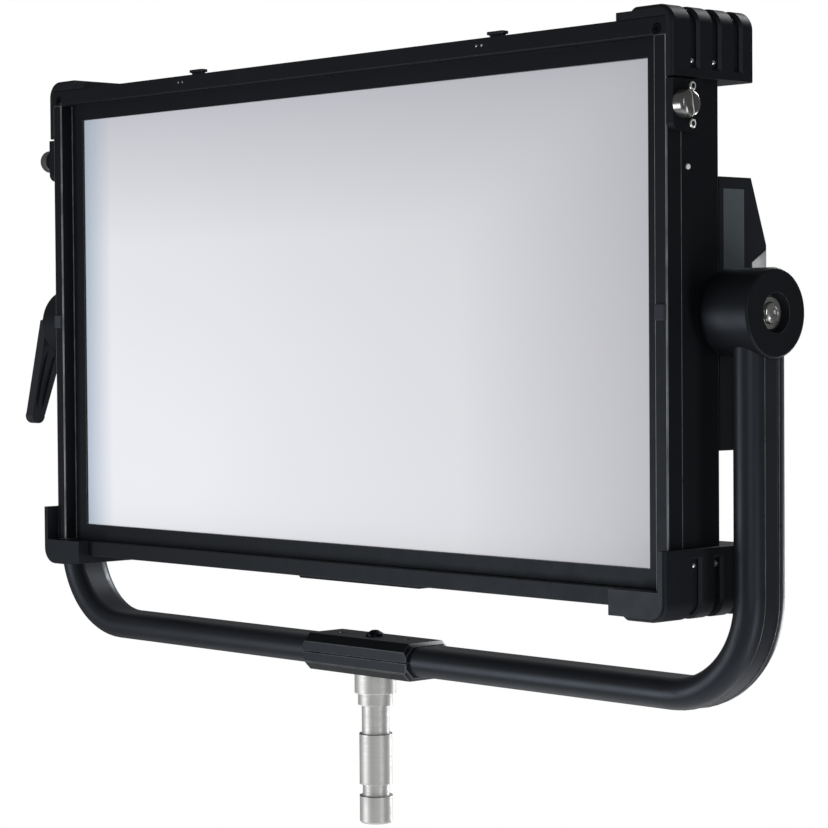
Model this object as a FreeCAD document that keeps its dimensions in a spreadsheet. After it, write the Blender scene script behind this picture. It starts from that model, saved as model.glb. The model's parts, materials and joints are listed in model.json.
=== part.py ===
import FreeCAD, Part
import math
import os

import Sketcher

# An LED panel light on a U-shaped tilting yoke with a stand spigot.
# Row frame: millimetres, +Z up, -Y is the way the light shines, +X is the lamp's right as seen
# from the front. The origin is the centre of the spigot's lower end face. The tilt axis lies
# along X, straight above the spigot.

doc = FreeCAD.newDocument("LedPanelLight")
sheet = doc.addObject("Spreadsheet::Sheet", "dims")
sheet.Label = "dims"

DIMENSIONS = {
    # tilt axis and head frame
    "mid_z": 438.0,
    "front_y": -57.5,
    "frame_wide": 782.0,
    "frame_tall": 442.4,
    "rim_side": 12.5,
    "rim_top": 13.9,
    "rim_deep": 16.5,
    "rail_wall": 2.0,
    "recess": 13.0,
    "aperture_wide": 722.0,
    "aperture_tall": 385.0,
    "bezel_thick": 1.5,
    "diffuser_thick": 3.0,
    "house_deep": 60.0,
    "house_wall": 3.0,
    "back_thick": 2.5,
    "spreader_thick": 5.5,
    "board_thick": 2.0,
    "fin_high": 20.0,
    "fin_thick": 2.5,
    "fin_pitch": 17.0,
    # corner guards
    "guard_out": 7.0,
    "guard_over": 9.0,
    "guard_arm": 54.0,
    "guard_reach": 57.0,
    "guard_tab": 16.0,
    "guard_deep": 96.0,
    "guard_lip": 12.0,
    "guard_round": 15.0,
    "guard_rear_bevel": 5.0,
    "rib_high": 4.0,
    "rib_gap": 6.6,
    "rib_bevel": 2.0,
    "rib_first": 25.0,
    "rib_pitch": 24.6,
    # accessory plates and quarter-turn knobs
    "plate_low": 136.0,
    "plate_high": 174.5,
    "plate_deep": 32.0,
    "plate_thick": 7.0,
    "stud_y": 9.0,
    "stud_z": 155.5,
    "stud_head": 10.5,
    "stud_out": 12.0,
    "stud_shaft": 4.0,
    "tab_x": 193.0,
    "tab_wide": 18.5,
    "tab_deep": 7.0,
    "tab_y": 21.0,
    "tab_high": 7.0,
    # rear electronics cover
    "pod_tall": 208.0,
    "pod_step": 97.0,
    "pod_deep": 115.0,
    "pod_flat": 106.0,
    "pod_skin": 2.5,
    "pod_half": 378.0,
    "fan_size": 80.0,
    "fan_bore": 38.0,
    "fan_thick": 25.0,
    "vent_pitch": 29.6,
    "fan_x": -195.0,
    "fan_pitch": 100.0,
    "panel_wide": 250.0,
    "panel_tall": 84.0,
    # yoke
    "yoke_x": 430.7,
    "tube_thick": 25.0,
    "tube_wide": 45.5,
    "tube_wall": 3.0,
    "tube_z": 146.6,
    "bend_round": 78.0,
    "arm_top": 414.0,
    "hub_inner": 396.4,
    "hub_outer": 448.0,
    "hub_round": 34.0,
    "axle": 7.0,
    "plug_round": 9.0,
    "run_gap": 0.05,
    "clamp_wide": 135.0,
    "clamp_deep": 52.0,
    "clamp_low": 130.0,
    "clamp_top": 162.5,
    "clamp_bevel": 7.0,
    # spigot
    "pin_round": 14.3,
    "lever_long": 99.0,
    "lever_lean": 15.3,
    "lever_near": 20.0,
    "lever_thick": 13.0,
}


class Size:
    """A length that knows both its number and the spreadsheet formula that drives it."""

    def __init__(self, number, formula):
        self.number = number
        self.formula = formula

    def __add__(self, other):
        return combine(self, other, "+", self.number + number(other))

    def __radd__(self, other):
        return combine(other, self, "+", number(other) + self.number)

    def __sub__(self, other):
        return combine(self, other, "-", self.number - number(other))

    def __rsub__(self, other):
        return combine(other, self, "-", number(other) - self.number)

    def __mul__(self, other):
        return combine(self, other, "*", self.number * number(other))

    def __rmul__(self, other):
        return combine(other, self, "*", number(other) * self.number)

    def __truediv__(self, other):
        return combine(self, other, "/", self.number / number(other))

    def __neg__(self):
        return combine(0, self, "-", -self.number)


def number(value):
    return value.number if isinstance(value, Size) else float(value)


def formula(value):
    return value.formula if isinstance(value, Size) else repr(float(value))


def combine(left, right, sign, result):
    return Size(result, f"({formula(left)} {sign} {formula(right)})")


class Dims:
    """The driving dimensions by name, each one a Size."""


d = Dims()
for row, (alias, length) in enumerate(DIMENSIONS.items(), 1):
    sheet.set(f"A{row}", alias)
    sheet.set(f"B{row}", str(length))
    sheet.setAlias(f"B{row}", alias)
    setattr(d, alias, Size(length, "dims." + alias))
doc.recompute()

nodes = {}


def bind(thing, path, value):
    """Drive one property of an object by the formula of a Size, or by a plain number."""
    thing.setExpression(path, formula(value))


def depth(distance):
    """A Y position, from a distance behind the front rim's face."""
    return d.front_y + distance


def height(distance):
    """A Z position, from a distance above the tilt axis."""
    return d.mid_z + distance


def keep(label, thing):
    """Name a finished sub-part."""
    thing.Label = label
    nodes[label] = thing
    return thing


def slab(label, x, y, z):
    """A rectangular block between two X, two Y and two Z positions."""
    block = doc.addObject("Part::Box", label)
    for axis, side, ends in zip("xyz", ("Length", "Width", "Height"), (x, y, z)):
        low, high = sorted(ends, key=number)
        bind(block, "Placement.Base." + axis, low)
        bind(block, side, high - low if isinstance(high, Size) else high - number(low))
    return block


TURNS = {
    "X": FreeCAD.Rotation(FreeCAD.Vector(0, 1, 0), 90),
    "-X": FreeCAD.Rotation(FreeCAD.Vector(0, 1, 0), -90),
    "Y": FreeCAD.Rotation(FreeCAD.Vector(1, 0, 0), -90),
    "-Y": FreeCAD.Rotation(FreeCAD.Vector(1, 0, 0), 90),
    "Z": FreeCAD.Rotation(),
    "-Z": FreeCAD.Rotation(FreeCAD.Vector(1, 0, 0), 180),
}


def rod(label, radius, long, start, way="Z"):
    """A round bar that starts at a point and runs one way."""
    bar = doc.addObject("Part::Cylinder", label)
    bar.Placement = FreeCAD.Placement(FreeCAD.Vector(), TURNS[way])
    bind(bar, "Radius", radius)
    bind(bar, "Height", long)
    for axis, place in zip("xyz", start):
        bind(bar, "Placement.Base." + axis, place)
    return bar


def fused(label, pieces):
    joined = doc.addObject("Part::MultiFuse", label)
    joined.Shapes = pieces
    return joined


def cut(label, base, tools):
    """A base with one or more tools taken away."""
    taken = doc.addObject("Part::Cut", label)
    taken.Base = base
    taken.Tool = tools[0] if len(tools) == 1 else fused(label + "_tools", tools)
    return taken


def mirrored(label, source, normal, through=(0, 0, 0)):
    image = doc.addObject("Part::Mirroring", label)
    image.Source = source
    image.Normal = FreeCAD.Vector(*normal)
    image.Base = FreeCAD.Vector(*through)
    return image


def grouped(label, pieces):
    """Several identical pieces that share one node."""
    group = doc.addObject("Part::Compound", label)
    group.Links = pieces
    return keep(label, group)


def new_body(label):
    body = doc.addObject("PartDesign::Body", label)
    body.Label = label
    return body


def sketch_on(body, name, role, offset=0):
    """A sketch on one of the body's own origin planes, moved along the plane's normal."""
    drawing = body.newObject("Sketcher::SketchObject", name)
    plane = [item for item in body.Origin.OriginFeatures if item.Role == role][0]
    drawing.AttachmentSupport = [(plane, "")]
    drawing.MapMode = "FlatFace"
    bind(drawing, "AttachmentOffset.Base.z", offset)
    return drawing


def arc_between(start, end, radius, turn):
    """The short arc between two points; turn is 1 anticlockwise or -1 clockwise."""
    chord = end - start
    rise = math.sqrt(max(radius * radius - chord.Length ** 2 / 4, 0))
    side = FreeCAD.Vector(-chord.y, chord.x, 0).normalize()
    centre = (start + end) / 2 + side * rise * turn
    first, last = (start, end) if turn > 0 else (end, start)
    angles = [math.atan2(place.y - centre.y, place.x - centre.x) for place in (first, last)]
    circle = Part.Circle(centre, FreeCAD.Vector(0, 0, 1), radius)
    return Part.ArcOfCircle(circle, angles[0], angles[1])


def outline(drawing, stops, closed=True):
    """Draw lines and arcs through the stops, every stop held by the sheet.

    A stop is (x, y), reached by a straight line, or (x, y, radius, turn), reached by an arc.
    """
    count = len(stops)
    spots = [FreeCAD.Vector(number(stop[0]), number(stop[1]), 0) for stop in stops]
    pieces = []
    for here in range(count if closed else count - 1):
        there = (here + 1) % count
        if len(stops[there]) == 2:
            shape = Part.LineSegment(spots[here], spots[there])
            pieces.append((drawing.addGeometry(shape, False), 1, 2))
            continue
        radius, turn = stops[there][2:]
        shape = arc_between(spots[here], spots[there], number(radius), turn)
        ends = (1, 2) if turn > 0 else (2, 1)
        pieces.append((drawing.addGeometry(shape, False), *ends))
        held = drawing.addConstraint(Sketcher.Constraint("Radius", pieces[-1][0], number(radius)))
        bind(drawing, f"Constraints[{held}]", radius)
    for here, (piece, _, end) in enumerate(pieces):
        if closed or here < len(pieces) - 1:
            following, start, _ = pieces[(here + 1) % len(pieces)]
            drawing.addConstraint(Sketcher.Constraint("Coincident", piece, end, following, start))
    corners = [(piece, start) for piece, start, _ in pieces]
    if not closed:
        corners.append((pieces[-1][0], pieces[-1][2]))
    for (piece, end), stop in zip(corners, stops):
        for kind, place in zip(("DistanceX", "DistanceY"), stop[:2]):
            rule = Sketcher.Constraint(kind, -1, 1, piece, end, number(place))
            held = drawing.addConstraint(rule)
            bind(drawing, f"Constraints[{held}]", place)


def circle(drawing, x, y, radius):
    """A full circle, its centre and radius held by the sheet."""
    centre = FreeCAD.Vector(number(x), number(y), 0)
    ring = drawing.addGeometry(Part.Circle(centre, FreeCAD.Vector(0, 0, 1), number(radius)), False)
    held = drawing.addConstraint(Sketcher.Constraint("Radius", ring, number(radius)))
    bind(drawing, f"Constraints[{held}]", radius)
    for kind, place in (("DistanceX", x), ("DistanceY", y)):
        held = drawing.addConstraint(Sketcher.Constraint(kind, -1, 1, ring, 3, number(place)))
        bind(drawing, f"Constraints[{held}]", place)


def rectangle(drawing, left, right, low, high):
    outline(drawing, [(left, low), (right, low), (right, high), (left, high)])


def pad(body, drawing, long, both_ways=False, backwards=False):
    feature = body.newObject("PartDesign::Pad", drawing.Name + "Pad")
    feature.Profile = drawing
    bind(feature, "Length", long)
    feature.Midplane = both_ways
    feature.Reversed = backwards
    return feature


def pocket(body, drawing, long, both_ways=False, backwards=False):
    """A pocket, checked to have taken material away."""
    doc.recompute()
    before = body.Shape.Volume
    feature = body.newObject("PartDesign::Pocket", drawing.Name + "Pocket")
    feature.Profile = drawing
    bind(feature, "Length", long)
    feature.Midplane = both_ways
    feature.Reversed = backwards
    doc.recompute()
    if body.Shape.Volume >= before - 0.01:
        raise ValueError(f"{drawing.Name} cut nothing from {body.Label}")
    return feature


def soften(body, base, radius, wanted, kind="Fillet"):
    """Round or bevel the edges of a feature that pass a test."""
    doc.recompute()
    edges = [f"Edge{n}" for n, edge in enumerate(base.Shape.Edges, 1) if wanted(edge)]
    feature = body.newObject("PartDesign::" + kind, f"{body.Name}{kind}{len(body.Group)}")
    feature.Base = (base, edges)
    bind(feature, "Radius" if kind == "Fillet" else "Size", radius)
    return feature


def turned(label, stops, axis="Z", centre=(0, 0)):
    """A body of revolution about an axis along Z or X.

    Each stop is (position along the axis, radius), with arcs as in outline.
    """
    body = new_body(label)
    if axis == "Z":
        drawing = sketch_on(body, label + "Profile", "XZ_Plane", -centre[1])
        base = centre[0]
        points = [(base + stop[1], stop[0], *stop[2:]) for stop in stops]
        line = [(base, -500), (base, 1000)]
    else:
        drawing = sketch_on(body, label + "Profile", "XZ_Plane", -centre[0])
        base = centre[1]
        points = [(stop[0], base + stop[1], *stop[2:]) for stop in stops]
        line = [(-900, base), (900, base)]
    ends = [FreeCAD.Vector(number(x), number(y), 0) for x, y in line]
    drawing.addGeometry(Part.LineSegment(*ends), True)
    for end, stop in zip((1, 2), line):
        for kind, place in zip(("DistanceX", "DistanceY"), stop):
            rule = Sketcher.Constraint(kind, -1, 1, 0, end, number(place))
            held = drawing.addConstraint(rule)
            bind(drawing, f"Constraints[{held}]", place)
    outline(drawing, points)
    spin = body.newObject("PartDesign::Revolution", label + "Turn")
    spin.Profile = drawing
    spin.ReferenceAxis = (drawing, ["Axis0"])
    spin.Angle = 360
    return body


def copies(label, source, places):
    """Copies of one shape at several placements, kept as one node of separate solids."""
    doc.recompute()
    shapes = []
    for place, rotation in places:
        spot = FreeCAD.Vector(*[number(value) for value in place])
        copy = source.Shape.copy()
        copy.Placement = FreeCAD.Placement(spot, rotation).multiply(copy.Placement)
        shapes.append(copy)
    group = doc.addObject("Part::Feature", label)
    group.Shape = Part.makeCompound(shapes)
    return keep(label, group)


def screw(label, head, high, shank, long, socket, dome=0.3):
    """A screw along +Z with its head above Z = 0, a hexagon socket and a domed top."""
    body = turned(
        label,
        [
            (-long, 0),
            (-long, shank),
            (0, shank),
            (0, head),
            (high - dome, head),
            (high, head - dome * 1.6),
            (high, 0),
        ],
    )
    hexagon = sketch_on(body, label + "Socket", "XY_Plane", high)
    corners = [
        (socket * math.cos(math.radians(turn)), socket * math.sin(math.radians(turn)))
        for turn in range(0, 360, 60)
    ]
    outline(hexagon, corners)
    pocket(body, hexagon, high * 0.6)
    return body


# ---------------------------------------------------------------- head: front frame and optics

half_wide = d.frame_wide / 2
half_tall = d.frame_tall / 2


def rail(label, role, corners, inner, long):
    """A hollow frame rail, the pad of its cross-section with a thin wall."""
    body = new_body(label)
    drawing = sketch_on(body, label + "Section", role)
    outline(drawing, corners)
    outline(drawing, inner)
    pad(body, drawing, long, both_ways=True)
    return body


def rail_section(low, high, swap, sign):
    """The outer and inner outlines of a rail between two distances from the middle."""
    bevel = 0.7
    near = depth(0)
    far = depth(d.rim_deep)
    wall = d.rail_wall

    def place(across, along_y):
        across = across * sign
        if swap:
            return (along_y, d.mid_z + across)
        return (across, along_y)

    outer = [
        place(low + bevel, near),
        place(high - bevel, near),
        place(high, near + bevel),
        place(high, far),
        place(low, far),
        place(low, near + bevel),
    ]
    inner = [
        place(low + wall, near + wall),
        place(high - wall, near + wall),
        place(high - wall, far - wall),
        place(low + wall, far - wall),
    ]
    return outer, inner


def front_rails():
    low = half_tall - d.rim_top
    long = d.frame_wide
    screw_x = half_wide - 9
    screw_z = half_tall - 9.5
    for label, sign in (("rail_top", 1), ("rail_bottom", -1)):
        outer, inner = rail_section(low, half_tall, True, sign)
        body = rail(label, "YZ_Plane", outer, inner, long)
        holes = sketch_on(body, label + "Holes", "XZ_Plane", -d.front_y)
        for side in (-1, 1):
            circle(holes, screw_x * side, height(screw_z * sign), 4.6)
        pocket(body, holes, d.rail_wall)
        keep(label, body)
    side_long = d.frame_tall - d.rim_top * 2
    for label, sign in (("rail_left", -1), ("rail_right", 1)):
        outer, inner = rail_section(half_wide - d.rim_side, half_wide, False, sign)
        body = new_body(label)
        drawing = sketch_on(body, label + "Section", "XY_Plane", d.mid_z)
        outline(drawing, outer)
        outline(drawing, inner)
        pad(body, drawing, side_long, both_ways=True)
        keep(label, body)
    source = screw("rim_screw", 4.5, 1.6, 2.0, 12.0, 1.8, 0.5)
    places = []
    for side in (-1, 1):
        for sign in (-1, 1):
            spot = (screw_x * side, depth(1.7), height(screw_z * sign))
            places.append((spot, TURNS["-Y"]))
    copies("rim_screws", source, places)


def rim_pads():
    """Two small rubber rests on the side rims at half height."""
    pads = []
    for side in (-1, 1):
        inner = (half_wide - 11) * side
        outer = (half_wide - 1.4) * side
        block = slab("rim_pad_block", (inner, outer), (depth(-2.6), depth(0)), (height(-5), height(7.4)))
        soft = doc.addObject("Part::Fillet", "rim_pad")
        soft.Base = block
        doc.recompute()
        soft.Edges = [
            (n, 1.2, 1.2)
            for n, edge in enumerate(block.Shape.Edges, 1)
            if edge.BoundBox.YMin < number(depth(-1))
        ]
        pads.append(soft)
    grouped("rim_pads", pads)


def frame_plate(label, half_x, half_z, hole_x, hole_z, near, far):
    """A flat rectangular ring."""
    plate = slab(label + "_plate", (-half_x, half_x), (near, far), (height(-half_z), height(half_z)))
    hole = slab(
        label + "_hole",
        (-hole_x, hole_x),
        (near - 1, far + 1),
        (height(-hole_z), height(hole_z)),
    )
    return keep(label, cut(label, plate, [hole]))


def optics():
    inner_x = half_wide - d.rim_side
    inner_z = half_tall - d.rim_top
    face = depth(d.recess)
    behind = face + d.bezel_thick
    frame_plate(
        "diffuser_bezel", inner_x, inner_z, d.aperture_wide / 2, d.aperture_tall / 2, face, behind
    )
    far = behind + d.diffuser_thick
    panel_x = inner_x - 1
    panel_z = inner_z - 1
    keep(
        "diffuser_panel",
        slab("diffuser_panel", (-panel_x, panel_x), (behind, far), (height(-panel_z), height(panel_z))),
    )
    board_y = depth(d.house_deep) - d.back_thick - d.spreader_thick - d.board_thick
    frame_plate("mixing_chamber", panel_x, panel_z, panel_x - 2, panel_z - 2, far, board_y)
    spreader_y = board_y + d.board_thick
    back_y = spreader_y + d.spreader_thick
    board = slab(
        "led_sheet", (-panel_x, panel_x), (board_y, spreader_y), (height(-panel_z), height(panel_z))
    )
    led_board(board, board_y)
    keep(
        "heat_spreader",
        slab(
            "heat_spreader", (-panel_x, panel_x), (spreader_y, back_y), (height(-panel_z), height(panel_z))
        ),
    )


def led_board(board, board_y):
    """The emitter board: a sheet with a regular grid of soldered light sources."""
    columns = 16
    rows = 9
    size = 5.0
    thick = 1.4
    step_x = d.aperture_wide / columns
    step_z = d.aperture_tall / rows
    doc.recompute()
    chips = [board.Shape]
    for column in range(columns):
        for row in range(rows):
            x = number(step_x) * (column - (columns - 1) / 2) - size / 2
            z = number(height(step_z * (row - (rows - 1) / 2) - size / 2))
            corner = FreeCAD.Vector(x, number(board_y) - thick, z)
            chips.append(Part.makeBox(size, thick, size, corner))
    group = doc.addObject("Part::Feature", "led_board")
    group.Shape = Part.makeCompound(chips)
    keep("led_board", group)


# ---------------------------------------------------------------- head: housing


PLUG_DEEP = 6.0


def housing():
    near = depth(d.rim_deep)
    far = depth(d.house_deep)
    wall = d.house_wall
    slots = []
    for side in (-1, 1):
        middle = d.tab_x * side
        half = d.tab_wide / 2 - 2
        slots.append(
            slab(
                "tab_slot",
                (middle - half - 0.3, middle + half + 0.3),
                (depth(d.tab_y - 2.3), depth(d.tab_y + 2.3)),
                (height(half_tall - wall - 1), height(half_tall + 1)),
            )
        )
    for label, sign in (("housing_top", 1), ("housing_bottom", -1)):
        levels = (height((half_tall - wall) * sign), height(half_tall * sign))
        plate = slab(label + "_sheet", (-half_wide, half_wide), (near, far), levels)
        bevelled = bevel_back(label, plate, sign)
        if sign > 0:
            keep(label, cut(label, bevelled, slots))
        else:
            keep(label, bevelled)
    for label, side in (("housing_left", -1), ("housing_right", 1)):
        plate = slab(
            label + "_sheet",
            ((half_wide - wall) * side, half_wide * side),
            (near, far),
            (height(wall - half_tall), height(half_tall - wall)),
        )
        bevelled = bevel_back(label, plate, side)
        start = ((half_wide - wall * 2) * side, 0, d.mid_z)
        hole = rod(label + "_hole", d.plug_round, wall * 4, start, "X" if side > 0 else "-X")
        keep(label, cut(label, bevelled, [hole]))
    plate_x = half_wide - wall
    plate_z = half_tall - wall
    levels = (height(-plate_z), height(plate_z))
    plate = slab("back_sheet", (-plate_x, plate_x), (far - d.back_thick, far), levels)
    reliefs = [plug_clearance("back_plate", side) for side in (-1, 1)]
    keep("back_plate", cut("back_plate", plate, reliefs))


def bevel_back(label, plate, sign):
    """Bevel the outer rear edge of a housing wall."""
    bevelled = doc.addObject("Part::Chamfer", label + "_bevelled")
    bevelled.Base = plate
    doc.recompute()
    box = plate.Shape.BoundBox
    flat_z = box.ZLength < box.XLength
    outer = (box.ZMax if sign > 0 else box.ZMin) if flat_z else (box.XMax if sign > 0 else box.XMin)
    chosen = []
    for n, edge in enumerate(plate.Shape.Edges, 1):
        middle = edge.CenterOfMass
        place = middle.z if flat_z else middle.x
        if abs(middle.y - box.YMax) < 0.01 and abs(place - outer) < 0.01:
            chosen.append((n, 1.6, 1.6))
    bevelled.Edges = chosen
    return bevelled


def repeated(body, original, step, count):
    """Repeat a feature along X, with the body's tip on the pattern."""
    doc.recompute()
    pattern = body.newObject("PartDesign::LinearPattern", original.Name + "Row")
    pattern.Originals = [original]
    pattern.Direction = (original.Profile[0], ["H_Axis"])
    pattern.Occurrences = count
    bind(pattern, "Length", step * (count - 1))
    body.Tip = pattern
    return pattern


def heatsinks():
    """Two finned heatsinks on the back plate, above and below the electronics cover."""
    half_x = 336.0
    low = 112.0
    high = 168.0
    base = 3.0
    near = depth(d.house_deep)
    count = 39
    sinks = []
    for label, sign in (("heatsink_upper", 1), ("heatsink_lower", -1)):
        level = height(low * sign)
        body = new_body(label)
        foot = sketch_on(body, label + "Foot", "XY_Plane", level)
        rectangle(foot, -half_x, half_x, near, near + base)
        pad(body, foot, high - low, backwards=sign < 0)
        fin = sketch_on(body, label + "Fin", "XY_Plane", level)
        left = 8 - half_x
        rectangle(fin, left, left + d.fin_thick, near + base, near + base + d.fin_high)
        first = pad(body, fin, high - low, backwards=sign < 0)
        repeated(body, first, d.fin_pitch, count)
        sinks.append(body)
    grouped("heatsinks", sinks)


# ---------------------------------------------------------------- head: corner guards


def guard(label, lipped):
    """One upper right-hand corner guard: an L over the corner, a solid heel behind, and ribs.

    A lower guard is this shape turned over, with a lip that stands in front of the rim.
    """
    body = new_body(label)
    right = half_wide + d.guard_out
    top = height(half_tall + d.guard_over)
    low = height(half_tall + d.guard_over - d.guard_arm)
    inner = half_wide
    ledge = height(half_tall)
    tab_left = half_wide + d.guard_out - d.guard_reach
    block_left = tab_left + d.guard_tab
    tab_top = ledge + 6
    corner = d.guard_round
    front = -(d.front_y)
    arm = sketch_on(body, label + "Arm", "XZ_Plane", front)
    outer = [
        (block_left, tab_top),
        (block_left + 3, top),
        (right - corner, top),
        (right, top - corner, corner, -1),
        (right, low),
    ]
    outline(arm, [(tab_left, ledge), (tab_left, tab_top)] + outer + [(inner, low), (inner, ledge)])
    pad(body, arm, d.house_deep, backwards=True)
    heel = sketch_on(body, label + "Heel", "XZ_Plane", front - d.house_deep)
    heel_in = tab_left
    outline(
        heel,
        [(heel_in, ledge), (heel_in, tab_top)]
        + outer
        + [(inner - 34, low), (inner - 34, ledge - 16), (heel_in, ledge - 16)],
    )
    pad(body, heel, d.guard_deep - d.house_deep, backwards=True)
    if lipped:
        lip = sketch_on(body, label + "Lip", "XZ_Plane", front)
        foot = height(half_tall - d.rim_top)
        outline(
            lip,
            [(tab_left, foot), (tab_left, tab_top)]
            + outer
            + [(inner, low), (inner, foot)],
        )
        pad(body, lip, d.guard_lip)
    rib_edge = low + 8
    deep = d.rib_high
    for step in range(3):
        middle = d.rib_first + d.rib_pitch * step
        valley = sketch_on(body, f"{label}Valley{step}", "XZ_Plane", front - middle)
        outline(
            valley,
            [
                (block_left + 4, top + 5),
                (right + 5, top + 5),
                (right + 5, rib_edge),
                (right - deep, rib_edge),
                (right - deep, top - corner),
                (right - corner, top - deep, corner - deep, 1),
                (block_left + 4, top - deep),
            ],
        )
        last = pocket(body, valley, d.rib_gap, both_ways=True)
    rear = number(depth(d.guard_deep))
    nose = number(depth(-d.guard_lip)) if lipped else number(depth(0))

    def on_skin(edge):
        box = edge.BoundBox
        beside = box.XMax > number(right) - 0.01 and box.XLength < number(corner) + 0.01
        above = box.ZMax > number(top) - 0.01 and box.ZLength < number(corner) + 0.01
        along_side = beside and box.XLength < 0.01
        along_top = above and box.ZLength < 0.01
        return box.YLength < 0.01 and (along_side or along_top or (beside and above))

    def at_valley(edge):
        box = edge.BoundBox
        across = box.XMin > number(right) - 0.01 and box.ZLength < 0.01
        end = across and abs(box.ZMin - number(rib_edge)) < 0.01
        return end or (on_skin(edge) and nose + 1 < box.YMin < rear - 1)

    bevelled = soften(body, last, d.rib_bevel, at_valley, "Chamfer")
    behind = soften(
        body,
        bevelled,
        d.guard_rear_bevel,
        lambda edge: on_skin(edge) and edge.BoundBox.YMin > rear - 0.01,
        "Chamfer",
    )
    soften(body, behind, 3.0, lambda edge: on_skin(edge) and edge.BoundBox.YMax < nose + 0.01)
    return body


def guards():
    upper = guard("guard_top_right", False)
    keep("guard_top_right", upper)
    keep("guard_top_left", mirrored("guard_top_left", upper, (1, 0, 0)))
    pattern = guard("guard_lipped", True)
    middle = (0, 0, DIMENSIONS["mid_z"])
    lower = mirrored("guard_bottom_right", pattern, (0, 0, 1), middle)
    keep("guard_bottom_right", lower)
    keep("guard_bottom_left", mirrored("guard_bottom_left", lower, (1, 0, 0)))
    shank_long = number(d.guard_out - d.rib_high)
    source = screw("guard_screw", 2.0, 1.4, 1.2, shank_long, 0.9, 0.5)
    places = []
    screw_z = half_tall + d.guard_over - d.guard_arm + 12.5
    face = half_wide + d.guard_out - d.rib_high
    for side in (-1, 1):
        for sign in (-1, 1):
            for step in (0, 1):
                spot = (
                    face * side,
                    depth(d.rib_first + d.rib_pitch * step),
                    height(screw_z * sign),
                )
                places.append((spot, TURNS["X" if side > 0 else "-X"]))
    copies("guard_screws", source, places)


# ---------------------------------------------------------------- head: accessory plates, knobs, tabs


def accessory_plate(label, side):
    """A side plate with rounded lower corners and a bore for the quarter-turn knob."""
    body = new_body(label)
    drawing = sketch_on(body, label + "Outline", "YZ_Plane", half_wide * side)
    near = depth(0)
    far = depth(d.plate_deep)
    low = height(d.plate_low)
    top = height(d.plate_high)
    corner = 6.0
    outline(
        drawing,
        [
            (near, top),
            (near, low + corner),
            (near + corner, low, corner, 1),
            (far - corner, low),
            (far, low + corner, corner, 1),
            (far, top),
        ],
    )
    circle(drawing, depth(d.stud_y), height(d.stud_z), d.stud_shaft + d.run_gap)
    pad(body, drawing, d.plate_thick, backwards=side < 0)
    return keep(label, body)


def accessory_knob(label, side, lift):
    """A domed knob with a coin slot, on a shaft that turns in the plate.

    The lift is how far the knob stands out of its plate: the left one is unlatched.
    """
    plate_face = half_wide + d.plate_thick
    face = plate_face + lift
    crown = 6.0
    stops = [
        (plate_face - 5, 0),
        (plate_face - 5, d.stud_shaft),
        (face + 0.4, d.stud_shaft),
        (face + 0.4, d.stud_head),
        (face + d.stud_out - crown, d.stud_head),
        (face + d.stud_out, d.stud_head - crown, crown, 1),
        (face + d.stud_out, 0),
    ]
    pattern = label if side > 0 else label + "_pattern"
    body = turned(pattern, stops, "X", (depth(d.stud_y), height(d.stud_z)))
    slot = sketch_on(body, label + "Slot", "YZ_Plane", face + d.stud_out)
    middle_y = depth(d.stud_y)
    middle_z = height(d.stud_z)
    lean = math.radians(10)
    reach = 15.0
    half = 0.8
    across = (half * math.cos(lean), half * math.sin(lean))
    up = (-reach * math.sin(lean), reach * math.cos(lean))
    corners = []
    for first, second in ((-1, -1), (1, -1), (1, 1), (-1, 1)):
        y = middle_y + (across[0] * first + up[0] * second)
        z = middle_z + (across[1] * first + up[1] * second)
        corners.append((y, z))
    outline(slot, corners)
    pocket(body, slot, 4.5)
    if side > 0:
        return keep(label, body)
    return keep(label, mirrored(label, body, (1, 0, 0)))


def accessory_hardware():
    for hand, side, lift in (("left", -1, 4.0), ("right", 1, 0.0)):
        accessory_plate("accessory_plate_" + hand, side)
        accessory_knob("accessory_knob_" + hand, side, lift)
    source = screw("accessory_screw", 3.6, 1.6, 1.6, 4.0, 1.5, 0.6)
    places = []
    for side in (-1, 1):
        for level in (-14.0, 14.0):
            spot = (
                (half_wide + d.plate_thick) * side,
                depth(20.7),
                height(d.stud_z + level),
            )
            places.append((spot, TURNS["X" if side > 0 else "-X"]))
    copies("accessory_screws", source, places)


def latch_tab(label, side):
    """A sprung tab that stands through a slot in the top wall, with a wider foot inside."""
    middle = d.tab_x * side
    half = d.tab_wide / 2
    neck = half - 2
    top = half_tall + d.tab_high
    crown = slab(
        label + "_crown",
        (middle - half, middle + half),
        (depth(d.tab_y - d.tab_deep / 2), depth(d.tab_y + d.tab_deep / 2)),
        (height(top - 2.6), height(top)),
    )
    stem = slab(
        label + "_stem",
        (middle - neck, middle + neck),
        (depth(d.tab_y - 2), depth(d.tab_y + 2)),
        (height(half_tall - 8), height(top - 1)),
    )
    foot = slab(
        label + "_foot",
        (middle - half, middle + half),
        (depth(d.tab_y - 2), depth(d.tab_y + 2)),
        (height(half_tall - 8.5), height(half_tall - 5)),
    )
    return keep(label, fused(label, [crown, stem, foot]))


# ---------------------------------------------------------------- head: electronics cover


def pod_outline(drawing, inset, open_y):
    """The cover's side profile, drawn in Y and Z, at an inset from the outer skin."""
    tall = d.pod_tall / 2 - inset
    step = depth(d.pod_step) - inset / 2
    far = depth(d.pod_deep) - inset
    flat = d.pod_flat / 2 - inset / 2
    outline(
        drawing,
        [
            (open_y, height(-tall)),
            (step, height(-tall)),
            (far, height(-flat)),
            (far, height(flat)),
            (step, height(tall)),
            (open_y, height(tall)),
        ],
    )


FAN_CENTRES = [d.fan_x, d.fan_x - d.fan_pitch]
SOCKET_CENTRES = [Size(235.0, "235.0"), Size(285.0, "285.0")]
INLET_X = 185.0
ROCKER_X = 150.0
KNOB_CENTRES = {"menu_knob": 58.0, "dimmer_knob": 100.0}
BUTTON_X = 24.0
SOCKET_ROUND = 12.0


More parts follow.
